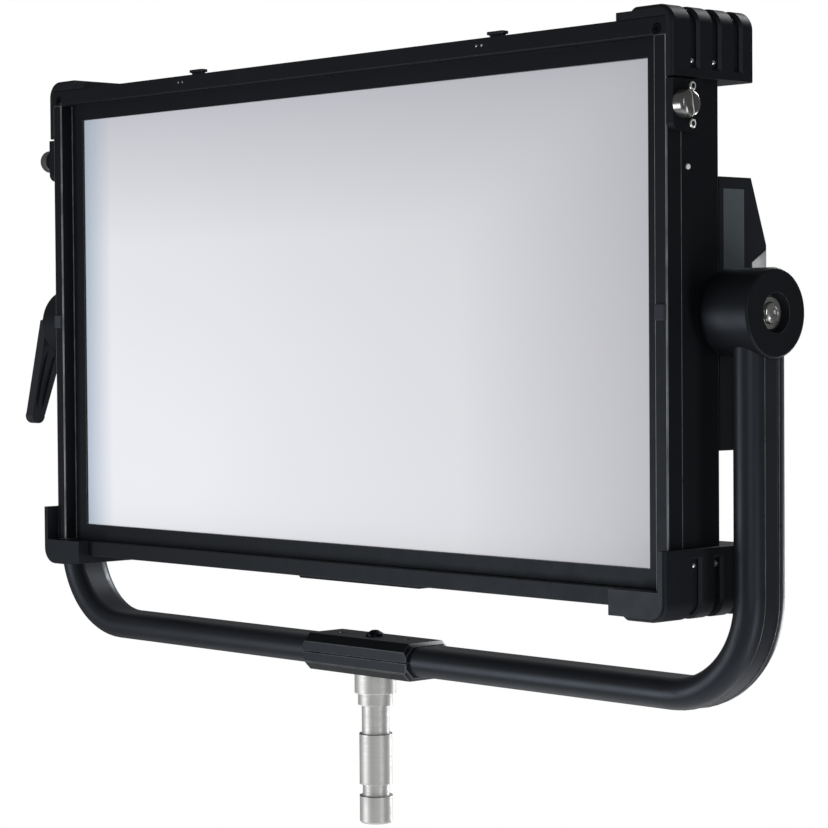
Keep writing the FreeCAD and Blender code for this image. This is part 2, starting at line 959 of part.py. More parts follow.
def rear_cover():
    body = new_body("rear_cover")
    near = depth(d.house_deep)
    shell = sketch_on(body, "coverOuter", "YZ_Plane")
    pod_outline(shell, 0, near)
    pad(body, shell, d.pod_half * 2, both_ways=True)
    hollow = sketch_on(body, "coverInner", "YZ_Plane")
    pod_outline(hollow, d.pod_skin, near - 5)
    pocket(body, hollow, d.pod_half * 2 + 10, both_ways=True)
    holes = sketch_on(body, "coverHoles", "XZ_Plane", -(depth(d.pod_deep)))
    half_x = d.panel_wide / 2
    half_z = d.panel_tall / 2
    rectangle(holes, -half_x, half_x, height(-half_z), height(half_z))
    for centre in FAN_CENTRES:
        circle(holes, centre, d.mid_z, d.fan_bore)
    for centre in SOCKET_CENTRES:
        circle(holes, centre, d.mid_z, SOCKET_ROUND)
    circle(holes, INLET_X, d.mid_z, SOCKET_ROUND)
    rectangle(holes, ROCKER_X - 7, ROCKER_X + 7, height(-10.5), height(10.5))
    pocket(body, holes, d.pod_skin * 2, backwards=True)
    slot = sketch_on(body, "coverVents", "XY_Plane", height(d.pod_tall / 2 + 1))
    rectangle(slot, -345.0, -339.0, near + 10, near + 30)
    vent = pocket(body, slot, d.pod_tall + 2)
    repeated(body, vent, d.vent_pitch, 24)
    keep("rear_cover", body)


def pod_end(label, side):
    """An end cap that closes the cover and stands flush with the housing's side."""
    body = new_body(label + "_solid")
    profile = sketch_on(body, label + "Profile", "YZ_Plane", d.pod_half * side)
    pod_outline(profile, 0, depth(d.house_deep))
    pad(body, profile, half_wide - d.pod_half, backwards=side < 0)
    keep(label, cut(label, body, [plug_clearance(label, side)]))


def plug_clearance(label, side):
    """The round relief that a part behind the side wall leaves for the pivot boss's plug."""
    start = (half_wide - d.house_wall - PLUG_DEEP - 1) * side
    radius = d.plug_round + 0.3
    return rod(label + "_relief", radius, 30, (start, 0, d.mid_z), "X" if side > 0 else "-X")


def control_panel():
    """The recessed control plate, its window, knobs and buttons."""
    face = depth(d.pod_deep)
    half_x = d.panel_wide / 2
    half_z = d.panel_tall / 2
    plate = slab(
        "control_blank", (-half_x, half_x), (face - d.pod_skin, face + 1), (height(-half_z), height(half_z))
    )
    window_x = (-112.0, 0.0)
    window_z = (height(-30), height(30))
    tools = [slab("window_hole", window_x, (face - 9, face + 9), window_z)]
    for x in KNOB_CENTRES.values():
        tools.append(rod("knob_hole", 3.0 + d.run_gap, 30, (x, face - 10, d.mid_z), "Y"))
    tools.append(rod("button_hole", 5.3, 30, (BUTTON_X, face - 10, d.mid_z), "Y"))
    keep("control_plate", cut("control_plate", plate, tools))
    keep("display_window", slab("display_window", window_x, (face - 1.2, face + 0.6), window_z))
    board_y = face - 12
    keep(
        "control_board",
        slab(
            "control_board",
            (8 - half_x, half_x - 8),
            (board_y - 1.6, board_y),
            (height(8 - half_z), height(half_z - 8)),
        ),
    )
    for label, x in KNOB_CENTRES.items():
        keep(label, knob(label, x, face + 1))
    cap = rod("button_cap", 5.0, 6.0, (BUTTON_X, face - 2.4, d.mid_z), "Y")
    collar = rod("button_collar", 6.4, 1.2, (BUTTON_X, face - d.pod_skin - 1.4, d.mid_z), "Y")
    keep("menu_button", fused("menu_button", [cap, collar]))


def knob(label, x, face):
    """A fluted rotary knob along Y on its own shaft."""
    grip = rod(label + "_grip", 13.0, 14.0, (x, face + 0.6, d.mid_z), "Y")
    skirt = rod(label + "_skirt", 15.0, 3.0, (x, face + 0.6, d.mid_z), "Y")
    shaft = rod(label + "_shaft", 3.0, 9.0, (x, face - 8, d.mid_z), "Y")
    whole = fused(label + "_whole", [grip, skirt, shaft])
    flutes = []
    for step in range(18):
        turn = math.radians(20 * step)
        spot = (x + 13.6 * math.cos(turn), face + 4.2, height(13.6 * math.sin(turn)))
        flutes.append(rod(label + "_flute", 1.3, 20, spot, "Y"))
    return cut(label, whole, flutes)


def sockets():
    """The power inlet, two data sockets and the power rocker on the cover's rear face."""
    face = depth(d.pod_deep)
    inlet = connector("power_inlet_body", INLET_X, face, 8.0, 3)
    keep("power_inlet", inlet)
    grouped(
        "data_sockets",
        [connector(f"data_socket_{n}", x, face, 8.5, 5) for n, x in enumerate(SOCKET_CENTRES, 1)],
    )
    rocker = slab("rocker_cap", (ROCKER_X - 6.3, ROCKER_X + 6.3), (face - 6, face + 2.2),
                  (height(-9), height(9)))
    shaped = doc.addObject("Part::Fillet", "rocker_rounded")
    shaped.Base = rocker
    doc.recompute()
    shaped.Edges = [
        (n, 3.0, 3.0)
        for n, edge in enumerate(rocker.Shape.Edges, 1)
        if edge.BoundBox.XLength > 5 and edge.BoundBox.YMin > number(face)
    ]
    axle = rod("rocker_axle", 1.2, 13.8, (ROCKER_X - 6.9, face - 1.9, d.mid_z), "X")
    keep("power_rocker", fused("power_rocker", [shaped, axle]))


def connector(label, x, face, bore, pins):
    """A flanged round socket along Y with a ring of pins."""
    barrel = rod(label + "_barrel", SOCKET_ROUND, 22.0, (x, face - 18.0, d.mid_z), "Y")
    flange = slab(label + "_flange", (x - 13, x + 13), (face, face + 2), (height(-15.5), height(15.5)))
    whole = fused(label + "_whole", [barrel, flange])
    mouth = rod(label + "_mouth", bore, 14.0, (x, face - 8.0, d.mid_z), "Y")
    hollow = cut(label + "_hollow", whole, [mouth])
    posts = [hollow]
    for step in range(pins):
        turn = 2 * math.pi * step / pins + math.pi / 2
        spot = (x + 5.0 * math.cos(turn), face - 8.5, height(5.0 * math.sin(turn)))
        posts.append(rod(label + "_pin", 0.9, 8.0, spot, "Y"))
    return fused(label, posts)


def power_supply():
    near = depth(d.house_deep)
    case = slab("power_supply", (-125, 230), (near + 0.5, near + 30), (height(-78), height(78)))
    keep("power_supply", case)


def fans():
    """Two cooling fans: square frames, bladed rotors and round guards."""
    far = depth(d.pod_deep) - d.pod_skin
    near = far - d.fan_thick
    half = d.fan_size / 2
    frames = []
    rings = []
    for n, centre in enumerate(FAN_CENTRES, 1):
        block = slab(
            f"fan_block_{n}", (centre - half, centre + half), (near, far), (height(-half), height(half))
        )
        bore = rod(f"fan_hole_{n}", d.fan_bore, d.fan_thick + 20, (centre, near - 10, d.mid_z), "Y")
        ring = cut(f"fan_ring_{n}", block, [bore])
        cup = rod(f"fan_cup_{n}", 15.0, 3.0, (centre, near, d.mid_z), "Y")
        arms = [
            slab(f"fan_arm_{n}", (centre - 39, centre + 39), (near, near + 3), (height(-2), height(2))),
            slab(f"fan_arm_{n}", (centre - 2, centre + 2), (near, near + 3), (height(-39), height(39))),
        ]
        frames.append(fused(f"fan_frame_{n}", [ring, cup] + arms))
        rings.append(fan_guard(n, centre))
        fan_rotor(f"fan_rotor_{n}", centre, near)
    grouped("fan_frames", frames)
    grouped("fan_guards", rings)


def fan_guard(n, centre):
    """A round wire guard: rings joined by four spokes, flush with the cover's skin."""
    far = depth(d.pod_deep)
    near = far - d.pod_skin
    pieces = []
    for radius in (8.0, 16.0, 24.0, 32.0, 37.9):
        outer = rod(f"guard_disc_{n}", radius, d.pod_skin, (centre, near, d.mid_z), "Y")
        inner = rod(f"guard_core_{n}", radius - 2.0, d.pod_skin + 4, (centre, near - 2, d.mid_z), "Y")
        pieces.append(cut(f"guard_ring_{n}", outer, [inner]))
    for x_half, z_half in ((37.0, 1.2), (1.2, 37.0)):
        pieces.append(
            slab(
                f"guard_spoke_{n}",
                (centre - x_half, centre + x_half),
                (near, far),
                (height(-z_half), height(z_half)),
            )
        )
    return fused(f"fan_guard_{n}", pieces)


def fan_rotor(label, centre, near):
    """A hub with seven slanted blades, built from the fan's own sizes."""
    hub_start = number(near) + 3.6
    blade_high = 17.0
    tip = number(d.fan_bore) - 1.2
    middle = FreeCAD.Vector(number(centre), hub_start, number(d.mid_z))
    forward = FreeCAD.Vector(0, 1, 0)
    shape = Part.makeCylinder(15.0, blade_high + 1.5, middle, forward)
    for step in range(7):
        blade = Part.makeBox(tip - 13.0, 1.6, blade_high)
        blade.translate(FreeCAD.Vector(13.0, -0.8, -blade_high / 2))
        blade.rotate(FreeCAD.Vector(), FreeCAD.Vector(1, 0, 0), 38)
        blade.rotate(FreeCAD.Vector(), FreeCAD.Vector(0, 0, 1), 360.0 * step / 7)
        blade.rotate(FreeCAD.Vector(), FreeCAD.Vector(1, 0, 0), -90)
        blade.translate(middle + FreeCAD.Vector(0, blade_high / 2 + 0.6, 0))
        shape = shape.fuse(blade)
    rotor = doc.addObject("Part::Feature", label)
    rotor.Shape = shape.removeSplitter()
    keep(label, rotor)


# ---------------------------------------------------------------- tilt pivots


def pivot_bosses():
    """Flanged bosses on the side walls that carry the tilt axle into the yoke hubs."""
    for hand, side in (("left", -1), ("right", 1)):
        start = half_wide * side
        label = "pivot_boss_" + hand
        way = "X" if side > 0 else "-X"
        flange = rod(label + "_flange", 26.0, 3.6, (start, 0, d.mid_z), way)
        inside = (half_wide - d.house_wall - PLUG_DEEP) * side
        plug = rod(label + "_plug", d.plug_round, d.house_wall + 8, (inside, 0, d.mid_z), way)
        axle = rod(label + "_axle", 12.0, 18.0, (start, 0, d.mid_z), way)
        bore = rod(label + "_bore", d.axle + d.run_gap, 60.0, ((half_wide - 30) * side, 0, d.mid_z), way)
        keep(label, cut(label, fused(label + "_whole", [flange, plug, axle]), [bore]))


def yoke_hub(label, side):
    """The round casting at the top of a yoke arm, with the arm's socket beneath."""
    inner = d.hub_inner
    outer = d.hub_outer
    radius = d.hub_round
    shoulder = 9.0
    rim = 2.2
    dish = 15.5
    floor = outer - 7
    sleeve = half_wide + 18.4
    stops = [
        (inner, 12 + d.run_gap),
        (inner, radius - shoulder),
        (inner + shoulder, radius, shoulder, -1),
        (outer - rim, radius),
        (outer, radius - rim, rim, -1),
        (outer, dish),
        (floor, dish - 2),
        (floor, d.axle + d.run_gap),
        (sleeve, d.axle + d.run_gap),
        (sleeve, 12 + d.run_gap),
    ]
    body = turned(label if side > 0 else label + "_pattern", stops, "X", (0, d.mid_z))
    socket = sketch_on(body, label + "Socket", "XY_Plane", d.arm_top)
    tube_outline(socket, 0.0)
    pocket(body, socket, 60)
    if side > 0:
        return keep(label, body)
    return keep(label, mirrored(label, body, (1, 0, 0)))


def pivot_hardware():
    """The axle bolts' nickel heads in the hub recesses and the friction discs."""
    floor = d.hub_outer - 7
    stops = [
        (half_wide - 2, 0),
        (half_wide - 2, d.axle),
        (floor + 0.4, d.axle),
        (floor + 0.4, 7.8),
        (floor + 3.6, 7.8),
        (floor + 4.2, 7.2),
        (floor + 4.2, 5.6),
        (floor + 2.6, 5.0),
        (floor + 2.6, 0),
    ]
    bolt = turned("pivot_bolt_right", stops, "X", (0, d.mid_z))
    keep("pivot_bolt_right", bolt)
    ring_out = rod("washer_disc", 12.0, 1.0, (floor, 0, d.mid_z), "X")
    ring_in = rod("washer_core", 8.4, 5.0, (floor - 2, 0, d.mid_z), "X")
    keep("pivot_washer", cut("pivot_washer", ring_out, [ring_in]))
    discs = []
    for side in (-1, 1):
        way = "X" if side > 0 else "-X"
        start = (half_wide + 3.8) * side
        plate = rod("friction_plate", 25.0, 1.5, (start, 0, d.mid_z), way)
        hole = rod("friction_hole", 12.2, 6.0, ((half_wide + 2) * side, 0, d.mid_z), way)
        discs.append(cut("friction_disc", plate, [hole]))
    grouped("friction_discs", discs)


def tilt_lever():
    """The clamp lever on the left hub: a round boss, a tapering arm and its threaded stud."""
    outer = -(d.hub_outer)
    boss = 13.5
    body = new_body("tilt_lever")
    round_part = sketch_on(body, "leverBoss", "YZ_Plane", outer - 0.6)
    circle(round_part, 0, d.mid_z, boss)
    pad(body, round_part, d.lever_near + d.lever_thick - 4.6, backwards=True)
    arm = sketch_on(body, "leverArm", "YZ_Plane", outer - d.lever_near)
    lean = math.radians(DIMENSIONS["lever_lean"])
    down = (-math.sin(lean), -math.cos(lean))
    across = (math.cos(lean), -math.sin(lean))

    def spot(distance, sideways):
        y = d.lever_long * (distance * down[0]) + sideways * across[0]
        z = d.mid_z + d.lever_long * (distance * down[1]) + sideways * across[1]
        return (y, z)

    top = 14.0
    tip = 7.2
    end_round = tip * 1.002
    outline(
        arm,
        [
            spot(0.0, -top),
            spot(0.94, -tip),
            (*spot(1.03, 0.0), end_round, 1),
            (*spot(0.94, tip), end_round, 1),
            spot(0.0, top),
        ],
    )
    base = pad(body, arm, d.lever_thick, backwards=True)
    far_face = number(outer - d.lever_near - d.lever_thick)
    soften(body, base, 2.0, lambda edge: edge.BoundBox.XMax < far_face + 0.1)
    stud = sketch_on(body, "leverStud", "YZ_Plane", outer - 0.6)
    circle(stud, 0, d.mid_z, d.axle)
    pad(body, stud, d.hub_outer - half_wide + 2.6)
    keep("tilt_lever", body)


# ---------------------------------------------------------------- yoke


def tube_outline(drawing, inset, x=d.yoke_x, grooved=False):
    """The yoke tube's flat-sided oval section, thin in X and wide in Y."""
    corner = d.tube_thick / 2 - inset
    half = d.tube_wide / 2 - inset
    flat = d.tube_wide / 2 - d.tube_thick / 2
    stops = [(x + corner, -flat)]
    if grooved:
        for place in (-flat + 3, flat - 4, flat - 1.6):
            stops += [
                (x + corner, place - 0.45),
                (x + corner - 0.5, place),
                (x + corner, place + 0.45),
            ]
    stops += [
        (x + corner, flat),
        (x, half, corner, 1),
        (x - corner, flat, corner, 1),
        (x - corner, -flat),
        (x, -half, corner, 1),
    ]
    first = stops.pop(0)
    outline(drawing, [(*first, corner, 1)] + stops)


def yoke_tube():
    """One bent hollow tube: right arm down, across below the head, and left arm up."""
    body = new_body("yoke_tube")
    path = sketch_on(body, "yokePath", "XZ_Plane")
    bend = d.bend_round
    outline(
        path,
        [
            (d.yoke_x, d.arm_top),
            (d.yoke_x, d.tube_z + bend),
            (d.yoke_x - bend, d.tube_z, bend, -1),
            (bend - d.yoke_x, d.tube_z),
            (-d.yoke_x, d.tube_z + bend, bend, -1),
            (-d.yoke_x, d.arm_top),
        ],
        closed=False,
    )
    section = sketch_on(body, "yokeSection", "XY_Plane", d.arm_top)
    tube_outline(section, 0.0, grooved=True)
    tube_outline(section, d.tube_wall)
    sweep = body.newObject("PartDesign::AdditivePipe", "yokeSweep")
    sweep.Profile = section
    sweep.Spine = (path, [])
    keep("yoke_tube", body)


def clamp_half(label, low, high, sign):
    """Half of the clamp block that grips the bottom tube, with a bevelled outer edge."""
    body = new_body(label)
    half = d.clamp_deep / 2
    bevel = d.clamp_bevel
    drawing = sketch_on(body, label + "Section", "YZ_Plane")
    seam = d.tube_z
    edge = high if sign > 0 else low
    outline(
        drawing,
        [
            (-half, seam + 0.2 * sign),
            (half, seam + 0.2 * sign),
            (half, edge - bevel * sign),
            (half - bevel, edge),
            (bevel - half, edge),
            (-half, edge - bevel * sign),
        ],
    )
    block = pad(body, drawing, d.clamp_wide, both_ways=True)
    soften(
        body,
        block,
        3.0,
        lambda line: abs(line.BoundBox.XLength) < 0.01
        and abs(line.CenterOfMass.z - number(edge)) < number(bevel) + 0.1,
        "Chamfer",
    )
    hole = sketch_on(body, label + "Bore", "YZ_Plane")
    corner = d.tube_thick / 2
    flat = d.tube_wide / 2 - corner
    outline(
        hole,
        [
            (-flat, seam - corner, corner, 1),
            (flat, seam - corner),
            (flat + corner, seam, corner, 1),
            (flat, seam + corner, corner, 1),
            (-flat, seam + corner),
            (-flat - corner, seam, corner, 1),
        ],
    )
    pocket(body, hole, d.clamp_wide + 4, both_ways=True)
    if sign > 0:
        wells = sketch_on(body, label + "Wells", "XY_Plane", edge)
        for x, radius in ((-42.0, 2.6), (42.0, 2.6), (0.0, 4.05)):
            circle(wells, x, 0, radius)
        pocket(body, wells, 6)
    else:
        well = sketch_on(body, label + "Well", "XY_Plane", edge)
        circle(well, 0, 0, 8.05)
        pocket(body, well, 6, backwards=True)
    return keep(label, body)


def clamp():
    clamp_half("clamp_upper", None, d.clamp_top, 1)
    clamp_half("clamp_lower", d.clamp_low, None, -1)
    source = screw("clamp_grub", 2.5, 2.0, 1.5, 0.9, 1.0)
    places = [((x, 0, d.clamp_top - 2.4), TURNS["Z"]) for x in (-42.0, 42.0)]
    copies("clamp_screws", source, places)
    bolt = screw("dome_bolt", 7.8, 5.2, 4.0, 3.4, 2.6, 3.0)
    copies("spigot_bolt", bolt, [((0, 0, d.clamp_top), TURNS["Z"])])


def spigot():
    """The turned stand spigot: a collar, a waisted neck and a grooved end."""
    pin = d.pin_round
    bevel = 1.6
    body = turned(
        "spigot",
        [
            (0, 0),
            (0, pin - bevel),
            (bevel, pin),
            (24, pin),
            (24, 11.6),
            (34, 11.6),
            (34, pin),
            (78, pin),
            (78, 12.0),
            (103, 12.0),
            (103, 15.2),
            (113.4, 15.2),
            (113.4, 18.1),
            (130, 18.1),
            (130, 8.0),
            (134, 8.0),
            (134, 0),
        ],
    )
    keep("spigot", body)


# ---------------------------------------------------------------- assembly

front_rails()
rim_pads()
optics()
housing()
heatsinks()
guards()
accessory_hardware()
latch_tab("latch_tab_left", -1)
latch_tab("latch_tab_right", 1)
rear_cover()
pod_end("rear_end_left", -1)
pod_end("rear_end_right", 1)
control_panel()
sockets()
power_supply()
fans()
pivot_bosses()
yoke_hub("yoke_hub_left", -1)
yoke_hub("yoke_hub_right", 1)
pivot_hardware()
tilt_lever()
yoke_tube()
clamp()
spigot()

doc.recompute()
for thing in doc.Objects:
    if "Invalid" in thing.State or "Error" in thing.State:
        raise ValueError(f"{thing.Label} failed: {thing.State}")
for label, thing in nodes.items():
    if thing.Shape.isNull() or not thing.Shape.isValid() or not thing.Shape.Solids:
        raise ValueError(f"{label} has no valid shape")

os.makedirs("parts", exist_ok=True)
for label, thing in nodes.items():
    thing.Shape.exportStep(f"parts/{label}.step")
print(len(nodes), "nodes written")
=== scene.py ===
import json
import math

import bmesh
import bpy
from mathutils import Matrix, Vector


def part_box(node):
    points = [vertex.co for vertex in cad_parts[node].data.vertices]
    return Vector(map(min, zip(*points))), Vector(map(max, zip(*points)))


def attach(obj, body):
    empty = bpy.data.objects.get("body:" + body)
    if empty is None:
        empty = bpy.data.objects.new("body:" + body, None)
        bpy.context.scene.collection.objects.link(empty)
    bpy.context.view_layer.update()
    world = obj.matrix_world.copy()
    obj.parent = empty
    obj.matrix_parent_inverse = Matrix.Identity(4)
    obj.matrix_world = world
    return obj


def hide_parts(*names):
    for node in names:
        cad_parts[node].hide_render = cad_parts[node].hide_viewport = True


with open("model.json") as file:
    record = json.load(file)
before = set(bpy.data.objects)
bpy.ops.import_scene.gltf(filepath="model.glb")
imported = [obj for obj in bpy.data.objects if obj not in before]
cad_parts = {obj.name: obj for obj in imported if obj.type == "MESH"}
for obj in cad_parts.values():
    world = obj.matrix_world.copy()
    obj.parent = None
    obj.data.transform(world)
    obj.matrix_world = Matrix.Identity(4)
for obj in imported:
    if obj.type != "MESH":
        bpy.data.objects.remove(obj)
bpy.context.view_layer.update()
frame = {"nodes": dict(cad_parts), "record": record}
nodes = frame["nodes"]
scene = bpy.context.scene

MM = 0.001
# Width of the painted shade along the diffuser's edges.
PAINTED_SHADE_FADE = 0.045
ROOM_LIGHT = 0.15
FLOOR_Z = -1.0
CAMERA_PLACE = (1.6964, -1.5260, 0.4223)
VIEW_ANGLES = (47.139, 1.682, -0.423)
LENS = 114.43

# ---------------------------------------------------------------- places read from the frame

RAIL_LOW, RAIL_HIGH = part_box("rail_top")
HUB_LOW, HUB_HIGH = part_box("yoke_hub_right")
COVER_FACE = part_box("rear_cover")[1].y
END_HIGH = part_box("rear_end_right")[1]
BACK_LOW, BACK_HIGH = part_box("back_plate")
TUBE_LOW, TUBE_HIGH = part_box("yoke_tube")
WINDOW_LOW, WINDOW_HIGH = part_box("display_window")
AXIS_Z = (HUB_LOW.z + HUB_HIGH.z) / 2
PANEL = (0.0, -0.04, AXIS_Z)
FRONT_Y = RAIL_LOW.y
SIDE_X = RAIL_HIGH.x
PIN = next(mount["dims"]["r_mm"] for mount in frame["record"]["mounts"] if mount["name"] == "spigot")
KNOB_DEEP = 11.6
SIDES = (("left", -1, "-X"), ("right", 1, "X"))
CREASE = math.radians(32)


# ---------------------------------------------------------------- materials


class Graph:
    """A short way to write a node material."""

    def __init__(self, name):
        self.material = bpy.data.materials.new(name)
        self.material.use_nodes = True
        self.tree = self.material.node_tree
        self.shader = self.tree.nodes["Principled BSDF"]

    def add(self, kind, **settings):
        node = self.tree.nodes.new("ShaderNode" + kind)
        for key, value in settings.items():
            if hasattr(node, key):
                setattr(node, key, value)
            else:
                node.inputs[key.replace("_", " ").title()].default_value = value
        return node

    def link(self, source, target):
        self.tree.links.new(source, target)

    def place(self, stretch=(1, 1, 1)):
        """Give object coordinates in metres, stretched along each axis."""
        coordinates = self.add("TexCoord")
        mapping = self.add("Mapping")
        mapping.inputs["Scale"].default_value = stretch
        self.link(coordinates.outputs["Object"], mapping.inputs["Vector"])
        return mapping.outputs["Vector"]

    def noise(self, scale, detail=3.0, stretch=(1, 1, 1)):
        texture = self.add("TexNoise", scale=scale, detail=detail)
        self.link(self.place(stretch), texture.inputs["Vector"])
        return texture.outputs["Fac"]

    def ramp(self, source, low, high, start=0.35, end=0.65):
        """Turn a 0 to 1 value into a colour or a number between two others."""
        node = self.add("ValToRGB")
        for element, place, value in zip(node.color_ramp.elements, (start, end), (low, high)):
            element.position = place
            element.color = (*value, 1) if isinstance(value, tuple) else (value, value, value, 1)
        self.link(source, node.inputs["Fac"])
        return node.outputs["Color"]

    def mix(self, factor, first, second):
        node = self.add("Mix", data_type="RGBA")
        self.link(factor, node.inputs["Factor"])
        for socket, value in ((node.inputs[6], first), (node.inputs[7], second)):
            if isinstance(value, tuple):
                socket.default_value = (*value, 1)
            else:
                self.link(value, socket)
        return node.outputs[2]

    def math(self, operation, *values):
        node = self.add("Math", operation=operation)
        for socket, value in zip(node.inputs, values):
            if isinstance(value, (int, float)):
                socket.default_value = value
            else:
                self.link(value, socket)
        return node.outputs[0]

    def bump(self, height, distance, strength=1.0):
        node = self.add("Bump")
        node.inputs["Distance"].default_value = distance
        node.inputs["Strength"].default_value = strength
        self.link(height, node.inputs["Height"])
        return node.outputs["Normal"]


def tone(colour, factor):
    """Make a colour lighter or darker."""
    return tuple(min(1.0, value * factor) for value in colour)


def coated(name, colour, rough, grain=900.0, depth=0.00004, spread=0.07, metal=0.0, specular=0.10):
    """Powder coat, anodising or moulded plastic: fine grain, cloudy tone and a few pale rubs."""
    g = Graph(name)
    body = g.ramp(g.noise(9.0, 5.0), tone(colour, 1 - spread), tone(colour, 1 + spread))
    rubs = g.ramp(g.noise(26.0, 8.0, (1.0, 1.0, 0.25)), 0.0, 1.0, 0.66, 0.82)
    g.link(g.mix(rubs, body, tone(colour, 1.5)), g.shader.inputs["Base Color"])
    haze = g.noise(70.0, 6.0)
    g.link(g.ramp(haze, rough - 0.02, rough + 0.02), g.shader.inputs["Roughness"])
    g.link(g.bump(g.noise(grain, 2.0), depth), g.shader.inputs["Normal"])
    g.shader.inputs["Metallic"].default_value = metal
    g.shader.inputs["Specular IOR Level"].default_value = specular
    g.shader.inputs["Specular Tint"].default_value = (0.72, 0.85, 1.0, 1)
    return g.material


def arris(name, colour, rough=0.3):
    """A patchy tone for rounded edges, lines and small marks, used for painted highlights and painted
    shade.
    """
    g = Graph(name)
    patchy = g.ramp(g.noise(45.0, 5.0), tone(colour, 0.55), tone(colour, 1.25))
    g.link(patchy, g.shader.inputs["Base Color"])
    g.link(g.ramp(g.noise(120.0, 4.0), rough - 0.05, rough + 0.12), g.shader.inputs["Roughness"])
    g.link(g.bump(g.noise(1500.0, 2.0), 0.00001), g.shader.inputs["Normal"])
    return g.material


def turned_metal(name, colour, rough, axis, metal=1.0, pitch=2600.0, depth=0.00001):
    """Metal with fine tool rings across one axis."""
    g = Graph(name)
    stretch = [0.02, 0.02, 0.02]
    stretch["XYZ".index(axis)] = 1.0
    rings = g.noise(pitch, 2.0, tuple(stretch))
    body = g.ramp(g.noise(40.0, 4.0), tone(colour, 0.94), tone(colour, 1.04))
    streaks = g.ramp(rings, 0.0, 0.35, 0.4, 0.75)
    g.link(g.mix(streaks, body, tone(colour, 0.8)), g.shader.inputs["Base Color"])
    g.link(g.ramp(rings, rough - 0.06, rough + 0.08), g.shader.inputs["Roughness"])
    g.link(g.bump(rings, depth), g.shader.inputs["Normal"])
    g.shader.inputs["Metallic"].default_value = metal
    return g.material


def opal_sheet(name):
    """The unlit opal diffuser: soft white, with a bluer painted shade along its left edge and painted shade
    darkening its top and right.
    """
    low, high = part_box("diffuser_panel")
    g = Graph(name)
    split = g.add("SeparateXYZ")
    g.link(g.place(), split.inputs["Vector"])
    from_left = g.math("DIVIDE", g.math("SUBTRACT", split.outputs["X"], low.x + 12 * MM), PAINTED_SHADE_FADE)
    from_right = g.math("DIVIDE", g.math("SUBTRACT", high.x, split.outputs["X"]), PAINTED_SHADE_FADE * 5)
    from_top = g.math("DIVIDE", g.math("SUBTRACT", high.z, split.outputs["Z"]), PAINTED_SHADE_FADE * 3)
    cloud = g.ramp(g.noise(2.2, 2.0), (0.905, 0.91, 0.945), (0.93, 0.935, 0.97))
    # Painted shade: darker towards the top and right, and a cooler, darker band along the left edge.
    far_painted_shade = g.ramp(g.math("SMOOTH_MIN", from_right, from_top, 0.4), 1.0, 0.0, 0.0, 1.0)
    near_painted_cool_shade = g.ramp(from_left, 1.0, 0.0, 0.1, 1.0)
    shaded = g.mix(far_painted_shade, cloud, (0.68, 0.68, 0.735))
    g.link(g.mix(near_painted_cool_shade, shaded, (0.48, 0.56, 0.66)), g.shader.inputs["Base Color"])
    g.link(g.ramp(g.noise(220.0, 3.0), 0.50, 0.58), g.shader.inputs["Roughness"])
    g.link(g.bump(g.noise(1400.0, 2.0), 0.00001), g.shader.inputs["Normal"])
    g.shader.inputs["Specular IOR Level"].default_value = 0.25
    return g.material


def fibre(name, colour):
    """Matt pressed fibre with coarse speckles."""
    g = Graph(name)
    body = g.ramp(g.noise(500.0, 6.0), tone(colour, 0.6), tone(colour, 1.5))
    g.link(body, g.shader.inputs["Base Color"])
    g.link(g.ramp(g.noise(300.0), 0.8, 0.9), g.shader.inputs["Roughness"])
    g.link(g.bump(g.noise(900.0, 4.0), 0.0001), g.shader.inputs["Normal"])
    return g.material


def circuit(name):
    """Green solder mask with traces."""
    g = Graph(name)
    cells = g.add("TexVoronoi", scale=90.0, feature="DISTANCE_TO_EDGE")
    g.link(g.place(), cells.inputs["Vector"])
    traces = g.ramp(cells.outputs["Distance"], (0.05, 0.22, 0.10), (0.012, 0.09, 0.035), 0.03, 0.06)
    g.link(traces, g.shader.inputs["Base Color"])
    g.link(g.ramp(g.noise(80.0), 0.25, 0.4), g.shader.inputs["Roughness"])
    g.link(g.bump(traces, 0.00008), g.shader.inputs["Normal"])
    return g.material


def smoked_window(name):
    """Dark glass with a glossy coat."""
    g = Graph(name)
    body = g.ramp(g.noise(30.0), (0.006, 0.008, 0.011), (0.010, 0.012, 0.016))
    g.link(body, g.shader.inputs["Base Color"])
    g.link(g.ramp(g.noise(200.0, 4.0), 0.06, 0.12), g.shader.inputs["Roughness"])
    g.shader.inputs["Coat Weight"].default_value = 0.6
    return g.material


def printed(name, colour, glow=0.0):
    """Screen printing, or a lit display segment where it glows."""
    g = Graph(name)
    body = g.ramp(g.noise(900.0, 3.0), tone(colour, 0.85), colour)
    g.link(body, g.shader.inputs["Base Color"])
    g.link(g.ramp(g.noise(400.0), 0.5, 0.6), g.shader.inputs["Roughness"])
    if glow:
        g.link(body, g.shader.inputs["Emission Color"])
        g.shader.inputs["Emission Strength"].default_value = glow
    return g.material


